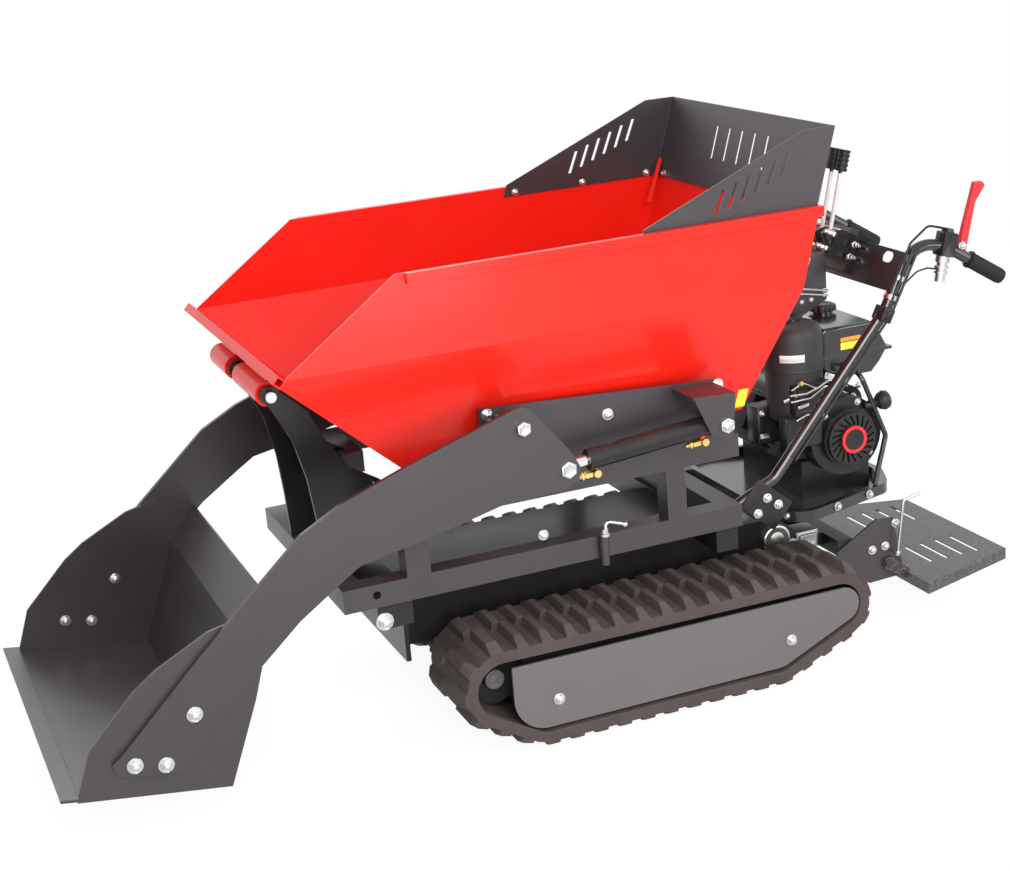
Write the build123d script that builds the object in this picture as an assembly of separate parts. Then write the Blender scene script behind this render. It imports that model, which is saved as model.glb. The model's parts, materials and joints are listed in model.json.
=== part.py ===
from build123d import *
from math import acos, atan2, ceil, cos, hypot, pi, sin
import os

os.makedirs("parts", exist_ok=True)

# Tracked site dumper with a front pivot skip and a self-loading shovel.
# Millimetres. +X is the direction of travel, +Y its left side, +Z up.

SIDES = {"left": 1, "right": -1}


# ---------------------------------------------------------------- helpers
def box(x0, x1, y0, y1, z0, z1):
    centre = Pos((x0 + x1) / 2, (y0 + y1) / 2, (z0 + z1) / 2)
    return centre * Box(abs(x1 - x0), abs(y1 - y0), abs(z1 - z0))


def plate(points, y0, y1):
    """A flat plate: an outline in X and Z, thick from y0 to y1."""
    low, high = min(y0, y1), max(y0, y1)
    outline = Polyline(*[(x, low, z) for x, z in points], close=True)
    return extrude(make_face(outline), amount=high - low, dir=(0, 1, 0))


def shaft(x, z, radius, y0, y1):
    """A round bar lying across the machine."""
    return Pos(x, (y0 + y1) / 2, z) * Rot(90, 0, 0) * Cylinder(radius, abs(y1 - y0))


def bar(p, q, radius):
    """A round bar from point p to point q."""
    along = Vector(*q) - Vector(*p)
    base = Plane(origin=p, z_dir=along)
    return extrude(base * Circle(radius), amount=along.length)


def bent_tube(points, bend, radius, sides=16):
    path = FilletPolyline(*points, radius=bend)
    return sweep((path ^ 0) * RegularPolygon(radius, sides), path=path)


def prism(x, z, radius, sides, y0, y1):
    """A many-sided roller lying across the machine."""
    base = Plane(origin=(x, min(y0, y1), z), x_dir=(1, 0, 0), z_dir=(0, 1, 0))
    return extrude(base * RegularPolygon(radius, sides, rotation=180 / sides), amount=abs(y1 - y0))


def save(solid, node):
    export_step(Pos(0, 0, DATUM) * solid, f"parts/{node}.step")


# ---------------------------------------------------------------- driving dimensions
# heights below are measured from a datum line that lies this far over the ground
DATUM = 20

# rubber tracks: the belt's inner face rolls on these wheels (x, z, radius), front to rear over the top
IDLER = (234, 148, 64)
SPROCKET = (-600, 150, 56)
REAR_ROLLER = (-445, 56, 32)
FRONT_ROLLER = (141, 56, 32)
TRACK_Y = (172, 404)
BELT = 24
LUG_HIGH = 20
LUG_END = (14, 30)
LUG_STEP = 13
LUG_COUNT = 37
LUG_TIP = 8
LUG_BASE = 15
COVER_FRONT = 215
COVER_GAP = 11
COVER_BEND = 78
WHEEL_PLAY = 0.5
BELT_BOW = 0.4

# frame of square tube that carries the skip and the loader
RAIL_Y = (265, 315)
RAIL_X = (-406, 546)
RAIL_Z = (364, 416)
TOP_RAIL_X = (-404, 401)
TOP_RAIL_Z = (532, 583)
UPRIGHT_X = ((347, 401), (-267, -220))
TUBE = 50
SWAN_Y = (125, -95, -141)
TIE_HOLE = (472, 392)

# skip
TIP_PIN = (608, 815)
SKIP_WALL = 4
SKIP_HALF = 386
SKIP_FLOOR_HALF = 235
SKIP_FLOOR_Z = 612
SKIP_FOLD_Z = 908
SKIP_RIM_Z = 1086
SKIP_SIDE = [(341, 612), (646, 896), (633, 910), (384, 1086), (-592, 1086), (-459, 612)]
LIP_TUBE = 20
RIM_FLANGE = (13, 22)
GUARD_TOP_Z = 1252
GUARD_THICK = 3

# loader
ARM_PIVOT = (160, 729)
PIVOT_PIN = 12.5
ROD_PIN = (65, 620)
RAM_PIN = (-316, 650)
ARM_Y = (426, 438)
RAM_Y = 396
BUCKET_HALF = 425.8
BUCKET_PLATE = 6

# ram under the skip
TIP_RAM_BASE = (452, 400)
TIP_RAM_EYE = (-140, 572)

# rear of the machine
TRAY_HALF = 288
TRAY_Z = (322, 348)
CRANK = (-757, 481)
RECOIL = 70
HANDLE_Y = 265
FOLD_PIN = (-856, 140)
HANGER_TUBE = (-762, -722)
HANGER_Y = 200
DECK_TOP = 108
DECK_REAR = -1194
DECK_FRONT = -905


# ---------------------------------------------------------------- tracks
WHEELS = [IDLER, SPROCKET, REAR_ROLLER, FRONT_ROLLER]


def belt_segments():
    """Straight and curved pieces of the belt's path, in order round the loop."""
    angles = []
    for (xa, za, ra), (xb, zb, rb) in zip(WHEELS, WHEELS[1:] + WHEELS[:1]):
        heading = atan2(zb - za, xb - xa)
        angles.append(heading - acos((ra - rb) / hypot(xb - xa, zb - za)))
    pieces = []
    for k, (x, z, r) in enumerate(WHEELS):
        start, end = angles[k - 1], angles[k]
        pieces.append(("arc", x, z, r, start, (end - start) % (2 * pi)))
        xn, zn, rn = WHEELS[(k + 1) % len(WHEELS)]
        a = (x + r * cos(end), z + r * sin(end))
        b = (xn + rn * cos(end), zn + rn * sin(end))
        pieces.append(("line", a, b, end))
    return pieces


SEGMENTS = belt_segments()
PITCH_OFFSET = BELT / 2


def segment_length(piece):
    if piece[0] == "arc":
        return (piece[3] + PITCH_OFFSET) * piece[5]
    return hypot(piece[2][0] - piece[1][0], piece[2][1] - piece[1][1])


LOOP_LENGTH = sum(segment_length(piece) for piece in SEGMENTS)


def on_belt(distance, offset):
    """The point at a distance along the loop and an offset out from the belt's inner face."""
    distance %= LOOP_LENGTH
    for piece in SEGMENTS:
        length = segment_length(piece)
        if distance <= length:
            break
        distance -= length
    if piece[0] == "arc":
        _, x, z, r, start, sweep_angle = piece
        angle = start + sweep_angle * distance / length
        return (x + (r + offset) * cos(angle), z + (r + offset) * sin(angle))
    _, a, b, angle = piece
    part = distance / length
    offset -= 4 * BELT_BOW * part * (1 - part)
    return (a[0] + (b[0] - a[0]) * part + offset * cos(angle),
            a[1] + (b[1] - a[1]) * part + offset * sin(angle))


def ring(offset, step):
    """The whole loop as points at an offset out from the belt's inner face, closer together round the wheels."""
    points, start = [], 0
    for piece in SEGMENTS:
        length = segment_length(piece)
        count = ceil(length / step) if piece[0] == "arc" else 4
        points += [on_belt(start + length * k / count, offset) for k in range(count)]
        start += length
    return points


def lug_row(shift):
    """The loop's outline with every lug on it, shifted along the belt."""
    points = []
    for lug in range(LUG_COUNT):
        middle = lug * LOOP_LENGTH / LUG_COUNT + shift
        for along, out in ((-LUG_BASE, BELT - 1), (-LUG_TIP, BELT + LUG_HIGH),
                           (LUG_TIP, BELT + LUG_HIGH), (LUG_BASE, BELT - 1)):
            points.append(on_belt(middle + along, out))
    return points


def corner(line_a, line_b, offset):
    """Where two straight runs of the belt would meet, moved in or out by an offset."""
    (_, (xa, za), _, ta), (_, (xb, zb), _, tb) = line_a, line_b
    da, db = xa * cos(ta) + za * sin(ta) + offset, xb * cos(tb) + zb * sin(tb) + offset
    det = sin(tb - ta)
    return ((da * sin(tb) - db * sin(ta)) / det, (db * cos(ta) - da * cos(tb)) / det)


# two rows of lugs, a step apart along the belt, whose outer ends slope down to its edges
row_split = (TRACK_Y[0] + TRACK_Y[1]) / 2 - 6
rows = plate(lug_row(0), TRACK_Y[0], row_split) + plate(lug_row(LUG_STEP), row_split, TRACK_Y[1])
end_drop, end_run = LUG_END
mid_ring = make_face(Polyline(*[(x, TRACK_Y[0] + end_run, z) for x, z in ring(BELT + LUG_HIGH, 24)], close=True))
end_ring = make_face(Polyline(*[(x, TRACK_Y[0], z) for x, z in ring(BELT + LUG_HIGH - end_drop, 24)], close=True))
crown_end = loft([mid_ring, end_ring])
middle_y = (TRACK_Y[0] + TRACK_Y[1]) / 2
crown = plate(ring(BELT + LUG_HIGH, 24), TRACK_Y[0] + end_run, TRACK_Y[1] - end_run) + crown_end
crown += crown_end.mirror(Plane(origin=(0, middle_y, 0), z_dir=(0, 1, 0)))
track = (rows & crown) + plate(ring(BELT, 24), *TRACK_Y)
track -= plate(ring(0, 15), TRACK_Y[0] - 1, TRACK_Y[1] + 1)

# the cover's outline runs inside the belt's straight runs, rounded at the rear and at the lower front corner
top_run, rear_run, low_run, front_run = [piece for piece in SEGMENTS if piece[0] == "line"]
rear_top, rear_low = corner(top_run, rear_run, -COVER_GAP), corner(rear_run, low_run, -COVER_GAP)
cover_line = [(COVER_FRONT, rear_top[1]), (COVER_FRONT, rear_low[1]), rear_low, rear_top]
cover_path = FilletPolyline(*[(x, 396, z) for x, z in cover_line], radius=[4, COVER_BEND, 60, 42], close=True)
cover = extrude(make_face(cover_path), amount=6, dir=(0, 1, 0))

for name, side in SIDES.items():
    save(track if side > 0 else mirror(track, Plane.XZ), f"track_{name}")
    save(cover if side > 0 else mirror(cover, Plane.XZ), f"track_cover_{name}")

    # side beam with its bottom rollers and the stubs that hold the cover
    beam = box(-520, 165, side * 222, side * 340, 112, 176)
    for k in range(4):
        x = FRONT_ROLLER[0] + k * (REAR_ROLLER[0] - FRONT_ROLLER[0]) / 3
        beam += prism(x, FRONT_ROLLER[1], FRONT_ROLLER[2] - WHEEL_PLAY, 18, side * 205, side * 372)
        beam += box(x - 14, x + 14, side * 250, side * 330, 70, 120)
    for x in (111, -471):
        beam += shaft(x, 130, 16, side * 338, side * 396)
    yoke = plate([(150, 122), (IDLER[0] + 30, 130), (IDLER[0] + 30, 166), (150, 174)], side * 222, side * 236)
    beam += yoke - shaft(IDLER[0], IDLER[1], 18.1, side * 220, side * 240)
    save(beam, f"side_frame_{name}")

    idler = prism(IDLER[0], IDLER[1], IDLER[2] - WHEEL_PLAY, 36, side * 238, side * 325)
    idler += shaft(IDLER[0], IDLER[1], 24, side * 320, side * 338) + shaft(IDLER[0], IDLER[1], 18, side * 222, side * 240)
    save(idler, f"idler_{name}")
    sprocket = prism(SPROCKET[0], SPROCKET[1], SPROCKET[2] - WHEEL_PLAY, 36, side * 262, side * 312)
    sprocket += shaft(SPROCKET[0], SPROCKET[1], 34, side * 168.2, side * 340)
    save(sprocket, f"sprocket_{name}")

# ---------------------------------------------------------------- chassis
chassis = box(-560, 380, -150, 150, 190, 318)
chassis += box(380, 391, -215, 215, 180, 363.8)
chassis += box(391, 470, -300, 300, 305, 363.8)
chassis += box(-400, -345, -300, 300, 305, 363.8)
chassis += box(-400, 391, -110, 110, 318, 345)
chassis += box(-640, -560, -150, 150, 150, 250) + shaft(SPROCKET[0], SPROCKET[1], 48, -168, 168)
chassis += box(*HANGER_TUBE, -HANGER_Y, HANGER_Y, 182, 222)
for side in SIDES.values():
    chassis += box(HANGER_TUBE[1] - 1, -639, side * 90, side * 130, 190, 222)
for x in (60, -420):
    chassis += box(x, x + 60, -221.9, 221.9, 120, 190)
save(chassis, "chassis")

# pin and lugs that hold the foot of the tipping ram
ram_foot = shaft(*TIP_RAM_BASE, 11.9, -48, 48)
for side in SIDES.values():
    ram_foot += box(TIP_RAM_BASE[0] - 24, TIP_RAM_BASE[0] + 24, side * 40, side * 48, 363.9, TIP_RAM_BASE[1])
    ram_foot += shaft(*TIP_RAM_BASE, 24, side * 40, side * 48)
save(ram_foot, "tip_ram_foot")

# frame of square tube over the chassis
x0, x1 = RAIL_X
z0, z1 = RAIL_Z
frame = box(x1 - TUBE, x1, -RAIL_Y[0], RAIL_Y[0], z0, z1) + box(x0, x0 + TUBE, -RAIL_Y[0], RAIL_Y[0], z0, z1)
for y in ((SWAN_Y[0] + 10, RAIL_Y[0]), (-RAIL_Y[0], SWAN_Y[1])):
    frame += box(TOP_RAIL_X[1] - TUBE, TOP_RAIL_X[1], *y, *TOP_RAIL_Z)
for side in SIDES.values():
    y0, y1 = side * RAIL_Y[0], side * RAIL_Y[1]
    frame += box(x0, x1, y0, y1, z0, z1)
    frame += box(*TOP_RAIL_X, y0, y1, *TOP_RAIL_Z)
    for upright in UPRIGHT_X:
        frame += box(*upright, y0, y1, z1, TOP_RAIL_Z[0])
    frame -= shaft(*TIE_HOLE, 9, y0 - 1, y0 + TUBE + 1 if side > 0 else y0 - TUBE - 1)
save(frame, "frame")

# swan-neck plates that carry the skip's front pivot
px, pz = TIP_PIN
head = [(px - 9, pz + 19), (px + 9, pz + 19), (px + 20, pz + 7), (px + 20, pz - 8), (px + 6, pz - 20)]
broad = [(531, RAIL_Z[1]), (536, 517), (547, 615), (569, 705)] + head[::-1]
broad += [(528, 765), (498, 698), (449, 624), (384, TOP_RAIL_Z[1]), (401.5, TOP_RAIL_Z[1])]
broad += [(401.5, 545), (499, RAIL_Z[1])]
slim = [(544, RAIL_Z[1]), (548, 517), (556, 615), (574, 705)] + head[::-1]
slim += [(540, 770), (512, 690), (498, 600), (497, RAIL_Z[1])]
for name, outline, y in (("near", broad, SWAN_Y[0]), ("middle", slim, SWAN_Y[1]), ("far", broad, SWAN_Y[2])):
    save(plate(outline, y, y + 10) - shaft(px, pz, 12.2, y - 1, y + 11), f"swan_plate_{name}")
save(shaft(px, pz, 12, -296, 152), "skip_pin")

# loader brackets: side plate, pivot boss and the fork that holds the lift ram
bracket_outline = [(210, 758), (-357, 722), (-357, 610), (-330, 565), (180, 565), (210, 600)]
fork_outline = [(-239, 724), (-341, 719), (-331, 621), (-282, 628)]
for name, side in SIDES.items():
    bracket = plate(bracket_outline, side * 315.2, side * 323)
    bracket += shaft(*ARM_PIVOT, 22, side * 323, side * 378)
    bracket += shaft(*ARM_PIVOT, PIVOT_PIN, side * 378, side * 446)
    bracket += plate([(-239, 724), (-341, 719), (-341, 711), (-239, 716)], side * 322, side * 425)
    bracket += plate(fork_outline, side * 422, side * 430)
    bracket += shaft(*RAM_PIN, 11.9, side * 322, side * 436)
    save(bracket, f"loader_bracket_{name}")

# ---------------------------------------------------------------- skip
def inset(points, wall, open_edges):
    """Shift each edge of a convex outline inwards by the wall, or outwards where it is open."""
    lines = []
    for k, ((xa, za), (xb, zb)) in enumerate(zip(points, points[1:] + points[:1])):
        length = hypot(xb - xa, zb - za)
        nx, nz = -(zb - za) / length, (xb - xa) / length
        shift = -60 if k in open_edges else wall
        lines.append((nx, nz, nx * xa + nz * za + shift))
    corners = []
    for (a, b, c), (d, e, f) in zip(lines[-1:] + lines[:-1], lines):
        det = a * e - b * d
        corners.append(((c * e - b * f) / det, (a * f - c * d) / det))
    return corners


def across(points, x0, x1):
    """A long prism: an outline in Y and Z, from x0 to x1."""
    outline = Polyline(*[(x0, y, z) for y, z in points], close=True)
    return extrude(make_face(outline), amount=x1 - x0, dir=(1, 0, 0))


skip_section = [(-SKIP_FLOOR_HALF, SKIP_FLOOR_Z), (SKIP_FLOOR_HALF, SKIP_FLOOR_Z), (SKIP_HALF, SKIP_FOLD_Z),
                (SKIP_HALF, SKIP_RIM_Z), (-SKIP_HALF, SKIP_RIM_Z), (-SKIP_HALF, SKIP_FOLD_Z)]
outside = plate(SKIP_SIDE, -400, 400) & across(skip_section, -700, 700)
inside = plate(inset(SKIP_SIDE, SKIP_WALL, (1, 2, 3)), -400, 400)
inside &= across(inset(skip_section, SKIP_WALL, (3,)), -800, 800)
tub = outside - inside
flange_out, flange_high = RIM_FLANGE
for side in SIDES.values():
    tub += box(SKIP_SIDE[4][0], SKIP_SIDE[3][0] - 20, side * (SKIP_HALF - 1), side * (SKIP_HALF + flange_out),
               SKIP_RIM_Z - flange_high, SKIP_RIM_Z)
save(tub, "skip")

# square tube under the pouring lip
lip = Plane(origin=(646.2, 0, 896.2), x_dir=(0, 1, 0), z_dir=(0.732, 0, 0.681))
lip_bar = extrude(lip * Pos(0, LIP_TUBE / 2) * Rectangle(2 * 396, LIP_TUBE), amount=LIP_TUBE)
lip_bore = extrude(lip.offset(3) * Pos(0, LIP_TUBE / 2) * Rectangle(2 * 397, LIP_TUBE - 6), amount=LIP_TUBE - 6)
save(lip_bar - lip_bore, "skip_lip")

# red knuckles that turn on the pivot pin
for name, y0, y1 in (("middle", -79, 118), ("far", -290, -147)):
    knuckle = shaft(px, pz, 27.4, y0, y1)
    web = Pos(px, (y0 + y1) / 2, pz) * Rot(0, -42.95, 0) * Pos(0, 0, 23.2) * Box(34, y1 - y0 - 20, 20)
    save(knuckle + web - shaft(px, pz, 12.1, y0 - 1, y1 + 1), f"skip_knuckle_{name}")

# slotted guard that stands on the rear of the skip
gy = SKIP_HALF - SKIP_WALL - 0.2
guard_side = [(-157, 1062), (-168, 1092), (-557, GUARD_TOP_Z), (-636, GUARD_TOP_Z), (-579, 1062)]
guard = plate(guard_side, gy - GUARD_THICK, gy) + plate(guard_side, -gy, -gy + GUARD_THICK)
guard += plate([(-636, GUARD_TOP_Z), (-579, 1062), (-576, 1062), (-633, GUARD_TOP_Z)], -gy, gy)
for k in range(6):
    x = -334 - k * 32
    top = 1150 + k * 12
    slot = [(x, top - 52), (x - 8, top - 52), (x - 30, top), (x - 22, top)]
    guard -= plate(slot, -400, 400)
for k in range(5):
    y = -120 + k * 60
    guard -= box(-700, -500, y - 5, y + 5, 1130, 1205)
save(guard, "skip_guard")

# lugs on the skip's floor for the tipping ram
lugs = box(TIP_RAM_EYE[0] - 34, TIP_RAM_EYE[0] + 34, -48, 48, SKIP_FLOOR_Z - 6.2, SKIP_FLOOR_Z - 0.2)
for side in SIDES.values():
    lugs += plate([(TIP_RAM_EYE[0] - 34, 608), (TIP_RAM_EYE[0] + 34, 608), (TIP_RAM_EYE[0] + 18, 548),
                   (TIP_RAM_EYE[0] - 18, 548)], side * 37, side * 45)
save(lugs, "skip_ram_lugs")


# ---------------------------------------------------------------- rams
def ram(base, tip, y, barrel_r, rod_r, barrel_length, base_half, eye_half, stub_half):
    """A ram's barrel and rod in the plane y, from its base pin to the eye at the tip of its rod."""
    length = hypot(tip[0] - base[0], tip[1] - base[1])
    ux, uz = (tip[0] - base[0]) / length, (tip[1] - base[1]) / length

    def at(distance):
        return (base[0] + ux * distance, y, base[1] + uz * distance)

    barrel = bar(at(18), at(barrel_length), barrel_r) + shaft(*base, barrel_r - 1, y - base_half, y + base_half)
    barrel -= bar(at(22), at(barrel_length + 1), rod_r + 0.5)
    barrel -= shaft(*base, 12, y - base_half - 1, y + base_half + 1)
    rod = bar(at(30), at(length - 12), rod_r)
    rod += shaft(*tip, rod_r + 5, y - eye_half, y + eye_half) + shaft(*tip, 10, y - stub_half, y + stub_half)
    return barrel, rod


barrel, rod = ram(TIP_RAM_BASE, TIP_RAM_EYE, 0, 31, 17, 586, 32, 18, 31)
save(barrel, "tip_ram_barrel")
save(rod, "tip_ram_rod")
for name, side in SIDES.items():
    barrel, rod = ram(RAM_PIN, ROD_PIN, side * RAM_Y, 23, 12, 320, 14, 12, 22)
    save(barrel, f"lift_ram_barrel_{name}")
    save(rod, f"lift_ram_rod_{name}")

# ---------------------------------------------------------------- loader
arm_outline = [(160, 781), (190, 773), (242, 756), (340, 726), (430, 697), (561, 651), (650, 604),
               (747, 518), (881, 399), (1061, 227), (1083, 211), (1078, 190), (1060, 178), (950, 160),
               (807, 304), (760, 348), (671, 425), (580, 485), (534, 514), (435, 532), (350, 548),
               (221, 578), (84, 584), (42, 597), (35, 625), (57, 667), (117, 744), (138, 772)]
for name, side in SIDES.items():
    arm = plate(arm_outline, side * ARM_Y[0], side * ARM_Y[1])
    save(arm - shaft(*ARM_PIVOT, PIVOT_PIN + 0.1, side * 420, side * 450), f"arm_{name}")

floor_line = [(1178, 146), (850, 97), (780, 273), (757, 345), (691, 418)]
shell_outline = floor_line + [(697, 421), (763, 347), (786, 275), (854, 104), (1178, 152)]
save(plate(shell_outline, -BUCKET_HALF + BUCKET_PLATE, BUCKET_HALF - BUCKET_PLATE), "bucket_shell")
cheek = [(1160, 143.4), (1124, 245), (1020, 350), (973, 384), (860, 440), (790, 455), (691, 420),
         (757, 345), (780, 273), (850, 97)]
for name, side in SIDES.items():
    save(plate(cheek, side * (BUCKET_HALF - BUCKET_PLATE), side * BUCKET_HALF), f"bucket_cheek_{name}")
save(plate([(1100, 146.4), (1193, 160.4), (1193, 154), (1100, 140.4)], -431, 431)
     - plate(shell_outline, -BUCKET_HALF - 9, BUCKET_HALF + 9) - plate(cheek, -431, 431), "bucket_edge")

# ---------------------------------------------------------------- power pack and controls
tray_plan = [(-522, 212), (-592, TRAY_HALF), (-862, 210), (-904, 120)]
tray_plan += [(x, -y) for x, y in tray_plan[::-1]]


def tray_slab(shrink, z0, z1):
    """The tray's rounded plan, shrunk all round, from z0 to z1."""
    centre = sum(x for x, _ in tray_plan) / len(tray_plan)
    points = [(x - shrink if x > centre else x + shrink, y - shrink if y > 0 else y + shrink, z0)
              for x, y in tray_plan]
    outline = FilletPolyline(*points, radius=50, close=True)
    return extrude(make_face(outline), amount=z1 - z0, dir=(0, 0, 1))


tray = tray_slab(0, *TRAY_Z) - tray_slab(16, TRAY_Z[0] + 6, TRAY_Z[1] + 1)
tray += box(-540, -402, -205, 205, 318, TRAY_Z[0] + 6)
save(tray, "engine_tray")

# engine: crankcase, finned cylinder leaning forward, blower housing and the pieces round the carburettor
engine = box(-846, -660, -140, 150, TRAY_Z[0] + 6, 420)
engine += prism(*CRANK, 96, 32, 120, 196)
engine += fillet(box(-838, -672, -130, 140, 400, 585).edges().filter_by(Axis.Y), 40)
leaning = Plane(origin=(-700, 0, 470), x_dir=(0, 1, 0), z_dir=(0.87, 0, 0.5))
engine += extrude(leaning * Pos(-8, 0) * Rectangle(112, 110), amount=110)
for k in range(6):
    engine += extrude(leaning.offset(30 + 14 * k) * Pos(-8, 0) * Rectangle(140, 140), amount=5)
engine += extrude(leaning.offset(110) * Pos(-8, 0) * Rectangle(100, 90), amount=26)
engine += box(-690, -618, 60, 150, 430, 520) + box(-676, -628, 110, 172, 500, 541.9)
save(engine - Pos(-652, 141, 601.9) * Cylinder(74.2, 120), "engine_block")

# recoil starter: a domed cover with a ring of louvres
starter = shaft(*CRANK, RECOIL, 196, 214) + shaft(*CRANK, RECOIL - 6, 214, 226) + shaft(*CRANK, 26, 226, 233)
for k in range(20):
    louvre = Pos(CRANK[0], 222, CRANK[1]) * Rot(0, 18 * k, 0) * Pos(0, 0, 46) * Rot(0, 24, 0) * Box(5, 10, 26)
    starter -= louvre
save(starter, "recoil_starter")

# fuel tank: an upper and a lower shell that meet at a flange
tank_side = [(-730, 620), (-742, 608), (-866, 608), (-890, 632), (-912, 664), (-878, 728), (-864, 735), (-738, 735),
             (-730, 727)]
tank = fillet(plate(tank_side, -95, 145).edges().filter_by(lambda e: abs(e.center().Y) > 90 or e.center().Y > 140), 8)
tank += box(-918, -728, -101, 151, 660, 667)
tank += Pos(-820, 0, 741) * Cylinder(25, 14) + box(-850, -750, -60, 80, 585, 609)
save(tank, "fuel_tank")

air_filter = Pos(-652, 141, 542) * extrude(RegularPolygon(71, 36), amount=193)
air_filter += Pos(-652, 141, 656) * extrude(RegularPolygon(74, 36), amount=6)
air_filter += Pos(-652, 141, 735) * extrude(RegularPolygon(71, 36), amount=20, taper=36)
air_filter += Pos(-652, 141, 755) * extrude(RegularPolygon(50, 36), amount=13, taper=50)
save(air_filter, "air_filter")
save(fillet(box(-850, -690, -240, -150, 520, 620).edges().filter_by(Axis.X), 24)
     + box(-800, -740, -160, -130.2, 520, 580), "silencer")
bar_route = [(-823, 212, TRAY_Z[1] + 1.8), (-856, 212, 468), (-790, 212, 631), (-790, 140, 640)]
save(bent_tube(bar_route, 24, 6.5, 8) - box(-850, -740, 100, 145, 600, 700), "guard_bar")

for name, side in SIDES.items():
    y = side * HANDLE_Y
    route = [(-390, y, 381), (-520, y, 440), (-827, y, 791), (-903, y, 935), (-990, y, 918), (-1054, y, 877.8)]
    save(bent_tube(route, [40, 60, 72, 50], 14) - box(-406.2, -350, -400, 400, 300, 450), f"handlebar_{name}")
    save(bar((-1054.2, y, 877.7), (-1146, y, 820), 17.5), f"grip_{name}")

panel = Plane(origin=(-855, 0, 846), x_dir=(0, 1, 0), z_dir=(0.889, 0, 0.457))
cross_plate = extrude(panel.offset(14.2) * Pos(0, 28) * Rectangle(2 * 284, 96), amount=5)
cross_plate += extrude(panel.offset(-6) * Pos(0, 74) * Rectangle(2 * 249, 5), amount=24)
for side in SIDES.values():
    cross_plate -= extrude(panel.offset(10) * Pos(side * 222, 56) * SlotOverall(44, 26), amount=14)
save(cross_plate, "cross_plate")

# valve block: three spools side by side, each with its lever and knob
valve = extrude(panel.offset(19.4) * Pos(20, 44) * Rectangle(150, 104), amount=14)
valve += extrude(panel.offset(33.4) * Pos(20, 50) * Rectangle(124, 66), amount=46)
for k in range(3):
    y = -16 + 38 * k
    valve += bar((-812, y, 905), (-800, y, 950), 13)
    valve += bar((-806, y, 925), (-845, y, 1092), 5) + bar((-845, y, 1087), (-858, y, 1136), 13)
save(valve, "valve_block")
lever_side = [(-1024, 896), (-1042, 886), (-1060, 960), (-1072, 1010), (-1099, 1046), (-1090, 1056), (-1072, 1056),
              (-1058, 1010), (-1042, 960)]
lever = fillet(plate(lever_side, HANDLE_Y - 7, HANDLE_Y + 7).edges().filter_by(Axis.Y), 3)
save(lever - bar((-990, HANDLE_Y, 918), (-1054, HANDLE_Y, 877.8), 14.1), "clutch_lever")

# ---------------------------------------------------------------- folding platform
hanger = [(-716, 192), (-716, 160), (-806, 95), (-888, 98), (-902, 118), (-876, 253), (-831, 257)]
for name, side in SIDES.items():
    hung = plate(hanger, side * (HANGER_Y + 0.1), side * (HANGER_Y + 6))
    hung += shaft(*FOLD_PIN, 9, side * (HANGER_Y + 6), side * (HANGER_Y + 20))
    save(hung, f"platform_hanger_{name}")


def flared(shrink, z0, z1):
    """The deck's plan, wider at its front, shrunk all round, from z0 to z1."""
    rear, front = DECK_REAR + shrink, DECK_FRONT - shrink
    plan = [(rear, 222 - shrink), (front, 311 - shrink), (front, shrink - 311), (rear, shrink - 222)]
    return extrude(make_face(Polyline(*[(x, y, z0) for x, y in plan], close=True)), amount=z1 - z0, dir=(0, 0, 1))


deck = flared(0, DECK_TOP - 28, DECK_TOP) - flared(3, DECK_TOP - 29, DECK_TOP - 3)
for side in SIDES.values():
    for k in range(4):
        x = -994 - 45 * k
        deck -= box(x - 5, x + 5, side * 76, side * 196, 60, 120)
    ear = plate([(-846, 152), (-866, 154), (-918, DECK_TOP + 2), (-918, DECK_TOP - 26), (-896, DECK_TOP - 14),
                 (-846, 128)], side * (HANGER_Y + 8), side * (HANGER_Y + 16))
    deck += ear - shaft(*FOLD_PIN, 9.1, side * 150, side * 250)
save(deck, "platform")
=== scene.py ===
# %% [markdown]
# # A tracked site dumper, dressed on its CAD frame
# The CAD model already holds every plate, tube, ram, wheel and lug at its real
# place. This lesson gives those parts their paint and rubber, and adds what a
# fitter would bolt on last: nuts, pins, hose fittings, cables and grips.
# Everything is in metres: +X is forward, +Y is the machine's left, +Z is up.

# %% Load the frame
import bpy
import json
from math import atan2, cos, hypot, pi, radians, sin, tan
from mathutils import Matrix, Vector


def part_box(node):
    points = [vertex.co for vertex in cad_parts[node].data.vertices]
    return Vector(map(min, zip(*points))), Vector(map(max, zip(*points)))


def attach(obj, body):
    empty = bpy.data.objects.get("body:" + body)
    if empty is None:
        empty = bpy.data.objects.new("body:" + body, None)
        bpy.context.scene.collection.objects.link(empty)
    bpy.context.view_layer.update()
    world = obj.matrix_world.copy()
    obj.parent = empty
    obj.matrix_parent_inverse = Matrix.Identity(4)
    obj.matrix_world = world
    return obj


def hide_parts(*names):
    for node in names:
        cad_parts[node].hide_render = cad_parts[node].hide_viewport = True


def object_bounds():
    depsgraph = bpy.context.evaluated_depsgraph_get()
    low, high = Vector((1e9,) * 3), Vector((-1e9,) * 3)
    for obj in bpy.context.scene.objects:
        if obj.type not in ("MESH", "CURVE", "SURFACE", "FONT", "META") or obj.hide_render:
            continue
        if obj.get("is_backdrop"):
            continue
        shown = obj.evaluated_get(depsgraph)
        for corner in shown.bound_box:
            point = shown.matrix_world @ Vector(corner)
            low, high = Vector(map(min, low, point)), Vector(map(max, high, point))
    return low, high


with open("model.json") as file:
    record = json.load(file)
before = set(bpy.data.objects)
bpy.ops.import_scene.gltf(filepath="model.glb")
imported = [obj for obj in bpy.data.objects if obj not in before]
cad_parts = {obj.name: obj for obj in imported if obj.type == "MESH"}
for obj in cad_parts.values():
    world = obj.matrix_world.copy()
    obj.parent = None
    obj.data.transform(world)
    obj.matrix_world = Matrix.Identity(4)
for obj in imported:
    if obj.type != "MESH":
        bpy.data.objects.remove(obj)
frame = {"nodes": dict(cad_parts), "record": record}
nodes = frame["nodes"]
low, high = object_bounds()
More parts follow.
